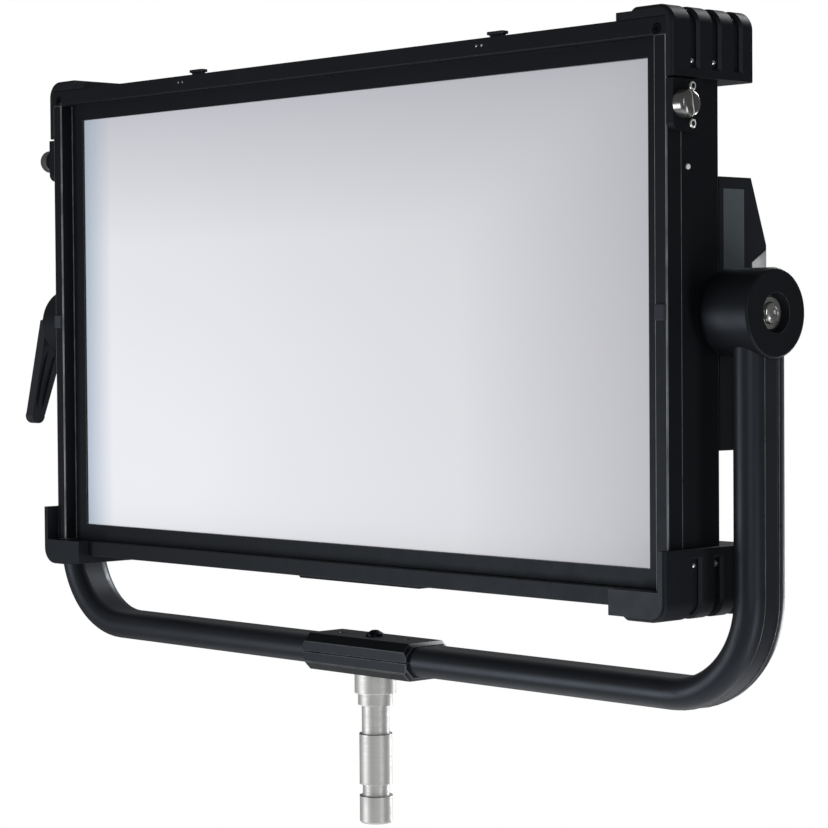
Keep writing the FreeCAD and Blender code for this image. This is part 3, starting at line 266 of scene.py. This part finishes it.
BLACK = (0.0085, 0.0092, 0.0112)
MATERIALS = {
    "frame_black": coated("frame_black", BLACK, 0.46, 1500.0, 0.00003),
    "housing_black": coated("housing_black", tone(BLACK, 0.85), 0.52, 1100.0, 0.00005, specular=0.12),
    "guard_rubber": coated("guard_rubber", tone(BLACK, 1.1), 0.46, 1600.0, 0.00002, 0.04, specular=0.16),
    "diffuser_white": opal_sheet("diffuser_white"),
    "liner_white": coated("liner_white", (0.80, 0.80, 0.79), 0.6, 500.0, 0.00003, 0.03),
    "board_white": coated("board_white", (0.72, 0.73, 0.70), 0.45, 500.0, 0.00003, 0.04),
    "bare_aluminium": turned_metal("bare_aluminium", (0.60, 0.61, 0.62), 0.35, "X", 1.0, 900.0),
    "fin_black": coated("fin_black", tone(BLACK, 1.8), 0.42, 1400.0, 0.00003, specular=0.35),
    "nickel": turned_metal("nickel", (0.40, 0.40, 0.39), 0.20, "X", 0.85, 1800.0),
    "screw_steel": turned_metal("screw_steel", (0.46, 0.46, 0.46), 0.28, "X", 1.0, 1800.0),
    "screw_black": coated("screw_black", BLACK, 0.30, 1500.0, 0.00002, 0.1, 0.6),
    "cast_black": coated("cast_black", tone(BLACK, 0.75), 0.46, 800.0, 0.00003, specular=0.2),
    "tube_black": coated("tube_black", tone(BLACK, 1.6), 0.42, 1800.0, 0.00002, specular=0.26),
    "lever_plastic": coated("lever_plastic", tone(BLACK, 1.7), 0.40, 1000.0, 0.00004, specular=0.4),
    "spigot_metal": turned_metal("spigot_metal", (0.50, 0.505, 0.49), 0.48, "Z", 0.5),
    "friction_fibre": fibre("friction_fibre", (0.06, 0.05, 0.045)),
    "pad_rubber": coated("pad_rubber", tone(BLACK, 4.5), 0.6, 700.0, 0.00005),
    "cover_black": coated("cover_black", tone(BLACK, 1.3), 0.48, 900.0, 0.00006, specular=0.3),
    "panel_black": coated("panel_black", tone(BLACK, 0.9), 0.55, 1300.0, 0.00003, specular=0.3),
    "window_glass": smoked_window("window_glass"),
    "socket_black": coated("socket_black", tone(BLACK, 2.2), 0.42, 900.0, 0.00004, specular=0.35),
    "knob_black": coated("knob_black", tone(BLACK, 2.6), 0.48, 1200.0, 0.00004, specular=0.35),
    "board_green": circuit("board_green"),
    "supply_grey": turned_metal("supply_grey", (0.45, 0.46, 0.47), 0.38, "X", 1.0, 700.0),
    "fan_black": coated("fan_black", tone(BLACK, 2.6), 0.5, 900.0, 0.00004, specular=0.35),
    "guard_wire": coated("guard_wire", tone(BLACK, 2.5), 0.35, 900.0, 0.00002, 0.1, 0.5),
}
# Edge tones: painted highlights and painted shade that stand in for the light that rounded edges and fine
# lines catch.
PAINTED_HIGHLIGHT_EDGE = arris("arris_painted_highlight", (0.21, 0.217, 0.23))
PAINTED_SOFT_HIGHLIGHT_AND_SHADE = arris("arris_painted_soft_highlight_and_shade", (0.040, 0.043, 0.050))
PAINTED_SHADE_EDGE = arris("arris_painted_shade", (0.012, 0.013, 0.016), 0.36)
PAINTED_LINE_HIGHLIGHT = arris("arris_painted_line_highlight", (0.11, 0.115, 0.125))
PAINTED_STEEL_HIGHLIGHT = arris("arris_painted_steel_highlight", (0.72, 0.72, 0.70), 0.22)
PRINT_WHITE = printed("print_white", (0.55, 0.56, 0.58))
SCREEN_BLUE = printed("screen_blue", (0.10, 0.28, 0.46), 0.4)
SCREEN_WHITE = printed("screen_white", (0.36, 0.39, 0.42), 0.3)
FACET_GREY = arris("facet_grey", (0.55, 0.56, 0.58), 0.34)
LABEL_GREY = printed("label_grey", (0.085, 0.105, 0.115))
# A near-white painted highlight for screw heads and spigot rings, also used as a painted reflection in the
# knob slot.
PAINTED_HIGHLIGHT = arris("painted_highlight", (0.80, 0.79, 0.76), 0.22)
KNOB_METAL = turned_metal("knob_metal", (0.22, 0.22, 0.215), 0.24, "X", 0.85, 1800.0)

for entry in frame["record"]["subparts"]:
    part = nodes[entry["node"]]
    part.data.materials.clear()
    part.data.materials.append(MATERIALS[entry["material_slot"]])


# ---------------------------------------------------------------- rounded edges on the CAD pieces


def rounded(names, width, segments, edge):
    """Round every sharp edge of some nodes and colour the new faces with an edge tone that paints highlight
    and shade onto them.
    """
    for name in names:
        part = nodes[name]
        part.data.materials.append(edge)
        weld = part.modifiers.new("weld", "WELD")
        weld.merge_threshold = 0.00001
        bevel = part.modifiers.new("arris", "BEVEL")
        bevel.width = width * MM
        bevel.segments = segments
        bevel.limit_method = "ANGLE"
        bevel.angle_limit = math.radians(38)
        bevel.material = 1
        bevel.harden_normals = True


def handed(*stems):
    """Names of the left and right piece of each stem."""
    return [f"{stem}_{hand}" for stem in stems for hand in ("left", "right")]


# The edge tones paint highlights on the side rails, housing, hubs and pivot bolt; soft highlights on the
# guards, plates and clamp; and shade on the top and bottom rails, lever and button.
rounded(handed("rail"), 0.35, 2, PAINTED_HIGHLIGHT_EDGE)
rounded(["rail_top", "rail_bottom"], 0.45, 2, PAINTED_SHADE_EDGE)
rounded(["housing_top", "housing_bottom"] + handed("housing"), 0.45, 2, PAINTED_HIGHLIGHT_EDGE)
rounded(["diffuser_bezel", "control_plate", "heatsinks", "power_rocker"], 0.3, 2, PAINTED_SOFT_HIGHLIGHT_AND_SHADE)
rounded(handed("guard_top", "guard_bottom"), 0.8, 2, PAINTED_SOFT_HIGHLIGHT_AND_SHADE)
rounded(handed("accessory_plate", "latch_tab", "rear_end"), 0.8, 2, PAINTED_SOFT_HIGHLIGHT_AND_SHADE)
rounded(["clamp_upper", "clamp_lower"], 0.9, 3, PAINTED_SOFT_HIGHLIGHT_AND_SHADE)
rounded(["tilt_lever", "menu_button"], 0.9, 3, PAINTED_SHADE_EDGE)
rounded(handed("yoke_hub"), 0.8, 2, PAINTED_HIGHLIGHT_EDGE)
rounded(["menu_knob", "dimmer_knob"], 0.5, 2, PAINTED_SOFT_HIGHLIGHT_AND_SHADE)
rounded(["pivot_bolt_right"], 0.35, 2, PAINTED_STEEL_HIGHLIGHT)

for part in nodes.values():
    for polygon in part.data.polygons:
        polygon.use_smooth = True
    if any(modifier.type == "BEVEL" for modifier in part.modifiers):
        weighted = part.modifiers.new("shading", "WEIGHTED_NORMAL")
        weighted.keep_sharp = True
    else:
        split = part.modifiers.new("creases", "EDGE_SPLIT")
        split.split_angle = CREASE


# ---------------------------------------------------------------- small pieces made here


def new_piece(name, shape, material, body, crease=CREASE):
    """Turn a bmesh into an object that rides on a body."""
    mesh = bpy.data.meshes.new(name)
    bmesh.ops.recalc_face_normals(shape, faces=shape.faces)
    shape.to_mesh(mesh)
    shape.free()
    for polygon in mesh.polygons:
        polygon.use_smooth = True
    mesh.materials.append(material)
    piece = bpy.data.objects.new(name, mesh)
    scene.collection.objects.link(piece)
    split = piece.modifiers.new("creases", "EDGE_SPLIT")
    split.split_angle = crease
    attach(piece, body)
    return piece


def add_prism(shape, outline, low, high, axis="Y", bevel=0.0):
    """A closed prism: an outline in the other two axes, drawn out along one axis."""
    order = {"X": (2, 0, 1), "Y": (0, 2, 1), "Z": (0, 1, 2)}[axis]

    def spot(point, level):
        values = (point[0], point[1], level)
        return Vector([values[index] for index in order])

    rings = []
    for level in (low, high):
        rings.append([shape.verts.new(spot(point, level)) for point in outline])
    faces = [shape.faces.new(rings[0][::-1]), shape.faces.new(rings[1])]
    count = len(outline)
    for n in range(count):
        after = (n + 1) % count
        faces.append(shape.faces.new((rings[0][n], rings[0][after], rings[1][after], rings[1][n])))
    if bevel:
        edges = {edge for face in faces for edge in face.edges}
        bmesh.ops.bevel(shape, geom=list(edges), offset=bevel, segments=2, affect="EDGES", profile=0.5)


def box_outline(x, y, half_x, half_y):
    """The corners of a rectangle from its middle and its half sizes."""
    left, right = x - half_x, x + half_x
    bottom, top = y - half_y, y + half_y
    return [(left, bottom), (right, bottom), (right, top), (left, top)]


AXES = {
    "X": Matrix.Rotation(math.radians(90), 4, "Y"),
    "-X": Matrix.Rotation(math.radians(-90), 4, "Y"),
    "Y": Matrix.Rotation(math.radians(-90), 4, "X"),
    "-Y": Matrix.Rotation(math.radians(90), 4, "X"),
    "Z": Matrix.Identity(4),
}


def skin(shape, rings):
    """Join each ring of corners to the next one with quads."""
    for first, second in zip(rings, rings[1:]):
        for n in range(len(first)):
            after = (n + 1) % len(first)
            shape.faces.new((first[n], first[after], second[after], second[n]))


def add_lathe(shape, profile, centre, way, socket=None, sides=28):
    """A turned form about a way out of a surface.

    The profile is (radius, height) from the outside in. A socket is (radius, depth) of a hexagon
    recess that replaces the last stop.
    """
    place = Matrix.Translation(Vector(centre)) @ AXES[way]
    rings = []
    for radius, high in profile:
        ring = []
        for n in range(sides):
            turn = 2 * math.pi * n / sides
            point = Vector((radius * math.cos(turn), radius * math.sin(turn), high))
            ring.append(shape.verts.new(place @ point))
        rings.append(ring)
    if socket:
        radius, deep = socket
        top = profile[-1][1]
        sector = math.radians(60)
        for level in (top, top - deep):
            ring = []
            for n in range(sides):
                turn = 2 * math.pi * n / sides
                flat = radius * math.cos(sector / 2) / math.cos(turn % sector - sector / 2)
                point = Vector((flat * math.cos(turn), flat * math.sin(turn), level))
                ring.append(shape.verts.new(place @ point))
            rings.append(ring)
    skin(shape, rings)
    shape.faces.new(rings[-1])
    shape.faces.new(rings[0][::-1])


def screw_heads(name, places, way, radius, material, body):
    """Low domed screw heads with hexagon sockets."""
    shape = bmesh.new()
    high = radius * 0.55
    profile = [(radius, -0.2 * MM), (radius, high * 0.35)]
    profile += [(radius * 0.86, high * 0.85), (radius * 0.6, high)]
    for centre in places:
        add_lathe(shape, profile, centre, way, (radius * 0.42, high * 0.7))
    return new_piece(name, shape, material, body)


def rim_dots():
    """Pairs of tiny bright set screws in the rim's face under each latch tab."""
    places = []
    level = RAIL_HIGH.z - 5.6 * MM
    for hand, _, _ in SIDES:
        low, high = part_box("latch_tab_" + hand)
        middle = (low.x + high.x) / 2
        for offset in (-2.8, 3.2):
            places.append((middle + offset * MM, FRONT_Y, level))
    screw_heads("rim_set_screws", places, "-Y", 1.15 * MM, MATERIALS["screw_steel"], "head")


def side_screws():
    """One small screw high on each side wall, its head coloured with a painted highlight."""
    for hand, sign, way in SIDES:
        place = [(sign * SIDE_X, FRONT_Y + 24 * MM, AXIS_Z + 110 * MM)]
        screw_heads("side_screw_" + hand, place, way, 2.2 * MM, PAINTED_HIGHLIGHT, "head")


def cover_screws():
    """Black screws that hold the rear cover and the back plate."""
    places = []
    for x in (-365, -245, -140, 140, 260, 365):
        for level in (-46, 46):
            places.append((x * MM, COVER_FACE, AXIS_Z + level * MM))
    screw_heads("cover_screws", places, "Y", 2.9 * MM, MATERIALS["screw_black"], "head")
    places = []
    for x in (-300, -150, 0, 150, 300):
        for level in (BACK_LOW.z + 12 * MM, BACK_HIGH.z - 12 * MM):
            places.append((x * MM, BACK_HIGH.y, level))
    screw_heads("back_screws", places, "Y", 2.6 * MM, MATERIALS["screw_black"], "head")


def side_facets():
    """A pale satin facet on each end cap, cut off on the slant at its top and bottom."""
    near = END_HIGH.y - 17.2 * MM
    far = END_HIGH.y - 0.9 * MM
    short = 39.4 * MM
    tall = 49.0 * MM
    outline = [
        (near, AXIS_Z - short),
        (far, AXIS_Z - tall),
        (far, AXIS_Z + tall),
        (near, AXIS_Z + short),
    ]
    for hand, sign, _ in SIDES:
        shape = bmesh.new()
        levels = sorted((sign * (END_HIGH.x - 0.3 * MM), sign * (END_HIGH.x + 0.5 * MM)))
        add_prism(shape, outline, *levels, "X")
        new_piece("side_facet_" + hand, shape, FACET_GREY, "head")


def bottom_foot():
    """The shallow foot under the middle of the housing, at its rear edge."""
    shape = bmesh.new()
    low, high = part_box("housing_bottom")
    half = 83 * MM
    drop = 7.0 * MM
    run = drop * 0.8
    outline = [
        (-half, low.z + 0.5 * MM),
        (-half + run, low.z - drop),
        (half - run, low.z - drop),
        (half, low.z + 0.5 * MM),
    ]
    add_prism(shape, outline, high.y - 22 * MM, high.y - 1.0 * MM, "Y", 0.8 * MM)
    new_piece("bottom_foot", shape, MATERIALS["housing_black"], "head")


def lever_ribs():
    """Two raised ribs along one broad face of the clamp lever."""
    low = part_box("tilt_lever")[0]
    reach = AXIS_Z - low.z
    lean = math.radians(15.3)
    down = Vector((0, -math.sin(lean), -math.cos(lean)))
    across = Vector((0, math.cos(lean), -math.sin(lean)))
    centre = Vector((0, 0, AXIS_Z))
    face = low.x + 13 * MM
    sunk = -0.4 * MM
    shape = bmesh.new()
    for side in (-0.42, 0.42):
        rows = []
        for step in range(13):
            part_way = step / 12
            along = reach * (0.30 + 0.58 * part_way)
            half = (13.2 - 6.6 * along / reach) * MM
            middle = centre + down * along + across * (half * side)
            swell = max(0.0, math.sin(math.pi * part_way)) ** 0.4
            wide = 1.1 * MM * swell + 0.1 * MM
            high_up = 0.9 * MM * swell
            ring = []
            section = ((-wide, sunk), (-wide * 0.5, high_up), (wide * 0.5, high_up), (wide, sunk))
            for offset, lift in section:
                point = middle + across * offset
                ring.append(shape.verts.new((face + lift, point.y, point.z)))
            rows.append(ring)
        skin(shape, rows)
        shape.faces.new(rows[0])
        shape.faces.new(rows[-1][::-1])
    crease = math.radians(50)
    new_piece("lever_ribs", shape, MATERIALS["lever_plastic"], "tilt_lever", crease)


def tube_highlight_lines():
    """Fine beads with a painted highlight that run along the outer face of the bent tube, standing in for
    light caught by its fine grooves.
    """
    bend = 90.5 * MM
    outer = TUBE_HIGH.x + 0.05 * MM
    bottom = TUBE_LOW.z - 0.05 * MM
    centre = (outer - bend, bottom + bend)
    top = HUB_LOW.z + 4 * MM
    steps = 14
    half_path = [(outer, top), (outer, centre[1])]
    for n in range(1, steps + 1):
        turn = math.pi / 2 * n / steps
        half_path.append((centre[0] + bend * math.cos(turn), centre[1] - bend * math.sin(turn)))
    path = half_path + [(-x, z) for x, z in reversed(half_path)]
    for name, y, thick in (("front", -8.2, 0.28), ("rear", 8.4, 0.34)):
        curve = bpy.data.curves.new("tube_highlight_line_" + name, "CURVE")
        curve.dimensions = "3D"
        curve.bevel_depth = thick * MM
        curve.bevel_resolution = 2
        curve.use_fill_caps = True
        spline = curve.splines.new("POLY")
        spline.points.add(len(path) - 1)
        for point, (x, z) in zip(spline.points, path):
            point.co = (x, y * MM, z, 1)
        curve.materials.append(PAINTED_LINE_HIGHLIGHT)
        line = bpy.data.objects.new("tube_highlight_line_" + name, curve)
        scene.collection.objects.link(line)
        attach(line, "yoke")


def knob_marks():
    """A pointer on each rotary knob, and a ring of printed ticks round it on the panel."""
    ticks = bmesh.new()
    orbit = 18.2 * MM
    plate_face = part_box("control_plate")[1].y
    for name in ("menu_knob", "dimmer_knob"):
        low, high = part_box(name)
        middle = (low + high) / 2
        pointer = bmesh.new()
        outline = box_outline(middle.x, middle.z + 8 * MM, 0.7 * MM, 3.6 * MM)
        add_prism(pointer, outline, high.y - 0.2 * MM, high.y + 0.25 * MM)
        new_piece(name + "_pointer", pointer, PRINT_WHITE, name)
        for step in range(11):
            turn = math.radians(210 - 24 * step)
            spot = (middle.x + orbit * math.cos(turn), middle.z + orbit * math.sin(turn))
            size = 0.9 * MM if step in (0, 5, 10) else 0.55 * MM
            outline = [
                (spot[0] + size * math.cos(angle), spot[1] + size * math.sin(angle))
                for angle in (2 * math.pi * n / 12 for n in range(12))
            ]
            add_prism(ticks, outline, plate_face - 0.2 * MM, plate_face + 0.12 * MM)
    new_piece("panel_ticks", ticks, PRINT_WHITE, "head")


def display():
    """A generic read-out: level bars, scale marks and a row of soft-key cells."""
    face = WINDOW_HIGH.y
    width = WINDOW_HIGH.x - WINDOW_LOW.x
    height = WINDOW_HIGH.z - WINDOW_LOW.z
    bars = bmesh.new()
    cells = bmesh.new()
    for row, level in enumerate((0.9, 0.55, 0.72)):
        z = WINDOW_HIGH.z - height * (0.20 + 0.18 * row)
        left = WINDOW_LOW.x + width * 0.12
        span = width * 0.74
        outline = box_outline(left + span * level / 2, z, span * level / 2, 1.7 * MM)
        add_prism(bars, outline, face - 0.2 * MM, face + 0.1 * MM)
        for n in range(11):
            outline = box_outline(left + span * n / 10, z - 3.8 * MM, 0.3 * MM, 0.9 * MM)
            add_prism(cells, outline, face - 0.2 * MM, face + 0.1 * MM)
    for n in range(4):
        x = WINDOW_LOW.x + width * (0.17 + 0.22 * n)
        outline = box_outline(x, WINDOW_LOW.z + height * 0.13, 9 * MM, 2.6 * MM)
        add_prism(cells, outline, face - 0.2 * MM, face + 0.1 * MM)
    new_piece("display_bars", bars, SCREEN_BLUE, "head")
    new_piece("display_cells", cells, SCREEN_WHITE, "head")


def socket_rings():
    """Bright retaining rings and flange screws round the three connectors."""
    shape = bmesh.new()
    screws = []
    inlet_low, inlet_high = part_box("power_inlet")
    face = inlet_high.y
    low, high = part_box("data_sockets")
    inset = 13 * MM
    centres = [(inlet_low.x + inlet_high.x) / 2, low.x + inset, high.x - inset]
    for x in centres:
        profile = [(10.6, -0.2), (10.6, 0.8), (10.1, 1.1), (9.3, 1.1), (9.0, 0.8), (9.0, -0.2)]
        add_ring(shape, profile, Matrix.Translation(Vector((x, face, AXIS_Z))) @ AXES["Y"])
        for sign in (-1, 1):
            screws.append((x + sign * 10.2 * MM, face, AXIS_Z + sign * 12.6 * MM))
    new_piece("socket_rings", shape, MATERIALS["nickel"], "head")
    screw_heads("socket_screws", screws, "Y", 1.7 * MM, MATERIALS["screw_steel"], "head")


def side_label():
    """A plain grey plate on each end cap."""
    shape = bmesh.new()
    for sign in (-1, 1):
        levels = sorted((sign * (END_HIGH.x - 0.2 * MM), sign * (END_HIGH.x + 0.25 * MM)))
        corners = box_outline(76.5, 52.5, 12, 42.5)
        outline = [(FRONT_Y + y * MM, AXIS_Z + z * MM) for y, z in corners]
        add_prism(shape, outline, *levels, "X")
    new_piece("side_labels", shape, LABEL_GREY, "head")


def coin_knobs():
    """Turned quarter-turn knobs with a rounded rim and a coin slot across the face."""
    rim = 4.6
    # The slot is two thin bars: a painted reflection beside a painted shade.
    bars = (("slot_painted_reflection", PAINTED_HIGHLIGHT, -0.45, 0.4), ("slot_painted_shade", PAINTED_SHADE_EDGE, 0.45, 0.5))
    for hand, sign, way in SIDES:
        low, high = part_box("accessory_knob_" + hand)
        middle = (low + high) / 2
        radius = (high.z - low.z) / 2 / MM
        crown = high.x if sign > 0 else low.x
        long = (high.x - low.x) / MM
        stem = 4.0
        profile = [(stem, -long), (stem, -KNOB_DEEP)]
        profile += [(radius - 0.4, -KNOB_DEEP), (radius, 0.4 - KNOB_DEEP)]
        for step in range(9):
            turn = math.pi / 2 * step / 8
            profile.append((radius - rim + rim * math.cos(turn), rim * math.sin(turn) - rim))
        profile += [(radius - 5.2, -0.02), (radius - 6.8, -0.25), (1.5, -0.55), (0.4, -0.6)]
        shape = bmesh.new()
        add_lathe(shape, [(r * MM, h * MM) for r, h in profile], (crown, middle.y, middle.z), way, sides=56)
        knob = new_piece("coin_knob_" + hand, shape, KNOB_METAL, "accessory_knob_" + hand)
        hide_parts("accessory_knob_" + hand)
        for name, material, offset, half in bars:
            bar = bmesh.new()
            add_slot_bar(bar, (crown, middle.y, middle.z), sign, radius, rim, offset, half)
            new_piece(f"{name}_{hand}", bar, material, "accessory_knob_" + hand)


def add_slot_bar(shape, centre, sign, radius, rim, offset, half):
    """A thin bar across a knob's face, leaning 10 degrees and following its rounded rim."""
    lean = math.radians(10)
    rows = []
    for step in range(25):
        reach = (step / 12 - 1) * (radius - 0.3)
        past = max(0.0, abs(reach) - (radius - rim))
        fall = rim - math.sqrt(max(0.0, rim * rim - past * past))
        row = []
        for across, lift in ((-half, -0.8), (-half, 0.12), (half, 0.12), (half, -0.8)):
            aside = offset + across
            y = centre[1] + (reach * math.sin(lean) + aside * math.cos(lean)) * MM
            z = centre[2] + (aside * math.sin(lean) - reach * math.cos(lean)) * MM
            row.append(shape.verts.new((centre[0] + sign * (lift - fall) * MM, y, z)))
        rows.append(row)
    skin(shape, rows)
    shape.faces.new(rows[0])
    shape.faces.new(rows[-1][::-1])


def plate_screw_faces():
    """Painted highlight rims and recesses in painted shade on the accessory plates' screws."""
    rims = bmesh.new()
    recesses = bmesh.new()
    for hand, sign, way in SIDES:
        low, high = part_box("accessory_knob_" + hand)
        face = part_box("accessory_screws")[1].x * sign
        for level in (-14, 14):
            centre = (face, FRONT_Y + 20.7 * MM, (low.z + high.z) / 2 + level * MM)
            add_bolt_face(rims, recesses, centre, way, 3.0)
    new_piece("plate_screw_highlight_rims", rims, PAINTED_HIGHLIGHT, "head")
    new_piece("plate_screw_shaded_recesses", recesses, PAINTED_SHADE_EDGE, "head")


def add_bolt_face(rims, recesses, centre, way, radius):
    """A bright rounded rim with a sunk hexagon socket inside it."""
    profile = [(1.0, -0.3), (1.0, 0.02), (0.9, 0.09), (0.72, 0.09), (0.66, 0.03), (0.66, -0.3)]
    place = Matrix.Translation(Vector(centre)) @ AXES[way]
    add_ring(rims, [(r * radius, h * radius) for r, h in profile], place)
    step = radius * MM
    stops = [(0.66 * step, -0.2 * step), (0.66 * step, 0.02 * step), (0.5 * step, 0.05 * step)]
    add_lathe(recesses, stops, centre, way, (0.42 * step, 0.15 * step))


def bolt_face():
    """The bright rim and hexagon recess of the pivot bolt."""
    low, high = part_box("pivot_bolt_right")
    middle = (low + high) / 2
    rim = bmesh.new()
    recess = bmesh.new()
    add_bolt_face(rim, recess, (high.x, middle.y, middle.z), "X", 6.7)
    new_piece("bolt_rim_right", rim, MATERIALS["nickel"], "yoke")
    new_piece("bolt_recess_right", recess, MATERIALS["screw_steel"], "yoke")


def add_ring(shape, profile, place, sides=40):
    """A closed ring turned from a profile of radius and height in millimetres."""
    rings = []
    for radius, high_up in profile:
        ring = []
        for n in range(sides):
            turn = 2 * math.pi * n / sides
            point = Vector((radius * math.cos(turn), radius * math.sin(turn), high_up)) * MM
            ring.append(shape.verts.new(place @ point))
        rings.append(ring)
    skin(shape, rings + rings[:1])


def bezel_highlight_lips():
    """Thin lips with a painted highlight where the side rails' inner walls meet the bezel."""
    shape = bmesh.new()
    bezel_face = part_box("diffuser_bezel")[0].y
    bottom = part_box("rail_bottom")[1].z
    top = RAIL_LOW.z
    for hand, sign in (("left", 1), ("right", -1)):
        low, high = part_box("rail_" + hand)
        wall = high.x if sign > 0 else low.x
        outline = box_outline(wall + sign * 0.3 * MM, bezel_face - 0.3 * MM, 0.4 * MM, 0.4 * MM)
        add_prism(shape, outline, bottom + 0.5 * MM, top - 0.5 * MM, "Z")
    new_piece("bezel_highlight_lips", shape, PAINTED_HIGHLIGHT_EDGE, "head")


def spigot_edges():
    """Painted highlight rings under the spigot's steps and painted shade rings over its grooves."""
    for name, material, rows in (
        ("spigot_highlight_rings", PAINTED_HIGHLIGHT, ((15.2, 103.0), (18.1, 113.4), (PIN, 34.0))),
        ("spigot_shade_rings", PAINTED_SOFT_HIGHLIGHT_AND_SHADE, ((PIN, 77.4), (PIN, 23.4))),
    ):
        shape = bmesh.new()
        for radius, level in rows:
            inner = radius - 0.6
            outer = radius + 0.08
            profile = [(inner, 0.0), (outer, 0.08), (outer, 0.62), (inner, 0.7)]
            add_ring(shape, profile, Matrix.Translation(Vector((0, 0, level * MM))), 64)
        new_piece(name, shape, material, "yoke")


rim_dots()
side_screws()
cover_screws()
side_facets()
bottom_foot()
bezel_highlight_lips()
spigot_edges()
bolt_face()
side_label()
coin_knobs()
plate_screw_faces()
lever_ribs()
tube_highlight_lines()
knob_marks()
display()
socket_rings()


# ---------------------------------------------------------------- camera, light and floor


def view_camera():
    """The camera, at the main viewing angle."""
    camera_data = bpy.data.cameras.new("camera")
    camera_data.sensor_width = 36.0
    camera_data.lens = LENS
    camera_data.clip_start = 0.05
    camera_data.clip_end = 60.0
    camera = bpy.data.objects.new("camera", camera_data)
    azimuth, elevation, roll = (math.radians(angle) for angle in VIEW_ANGLES)
    level = math.cos(elevation)
    back = Vector((math.sin(azimuth) * level, -math.cos(azimuth) * level, math.sin(elevation)))
    aim = (-back).to_track_quat("-Z", "Y").to_matrix().to_4x4()
    place = Matrix.Translation(Vector(CAMERA_PLACE))
    camera.matrix_world = place @ aim @ Matrix.Rotation(roll, 4, "Z")
    scene.collection.objects.link(camera)
    scene.camera = camera


def room():
    """A plain white room with a low, even fill."""
    scene.view_settings.view_transform = "Standard"
    world = bpy.data.worlds.new("studio")
    world.use_nodes = True
    tree = world.node_tree
    backdrop = tree.nodes["Background"]
    direct = tree.nodes.new("ShaderNodeLightPath")
    strength = tree.nodes.new("ShaderNodeMapRange")
    strength.inputs["To Min"].default_value = ROOM_LIGHT
    strength.inputs["To Max"].default_value = 1.0
    tree.links.new(direct.outputs["Is Camera Ray"], strength.inputs["Value"])
    tree.links.new(strength.outputs["Result"], backdrop.inputs["Strength"])
    backdrop.inputs["Color"].default_value = (1.0, 1.0, 1.0, 1)
    scene.world = world


def area_light(name, place, aim, size, power, colour=(1, 1, 1)):
    """A soft rectangular lamp at a place, turned towards its aim."""
    data = bpy.data.lights.new(name, "AREA")
    data.shape = "RECTANGLE"
    data.size, data.size_y = size
    data.energy = power
    data.color = colour
    lamp = bpy.data.objects.new(name, data)
    lamp.location = place
    lamp.rotation_euler = (Vector(aim) - Vector(place)).to_track_quat("-Z", "Y").to_euler()
    scene.collection.objects.link(lamp)


def floor():
    """A pale round floor, well below the hanging spigot."""
    shape = bmesh.new()
    bmesh.ops.create_circle(shape, cap_ends=True, segments=96, radius=1.5)
    mesh = bpy.data.meshes.new("floor")
    shape.to_mesh(mesh)
    shape.free()
    ground = bpy.data.objects.new("floor", mesh)
    ground.location.z = FLOOR_Z
    scene.collection.objects.link(ground)
    g = Graph("floor_pale")
    pale = g.ramp(g.noise(0.9), (0.90, 0.90, 0.90), (0.95, 0.95, 0.95))
    g.link(pale, g.shader.inputs["Base Color"])
    g.link(pale, g.shader.inputs["Emission Color"])
    g.shader.inputs["Emission Strength"].default_value = 0.35
    g.shader.inputs["Roughness"].default_value = 0.9
    mesh.materials.append(g.material)


view_camera()
room()
area_light("key", (-0.75, -1.35, 0.0), (-0.1, -0.04, AXIS_Z), (0.8, 0.8), 15.0, (0.98, 0.985, 1.0))
area_light("fill", (2.3, -2.0, 0.85), (0.3, 0.0, 0.3), (0.4, 1.7), 17.0)
area_light("side", (1.9, -0.05, -0.55), (0.43, 0.0, 0.15), (0.35, 1.3), 11.0)
area_light("back", (-0.1, 2.5, 1.7), PANEL, (0.8, 0.8), 85.0)
area_light("back_low", (0.2, 2.4, -0.3), PANEL, (0.6, 0.5), 18.0)
floor()
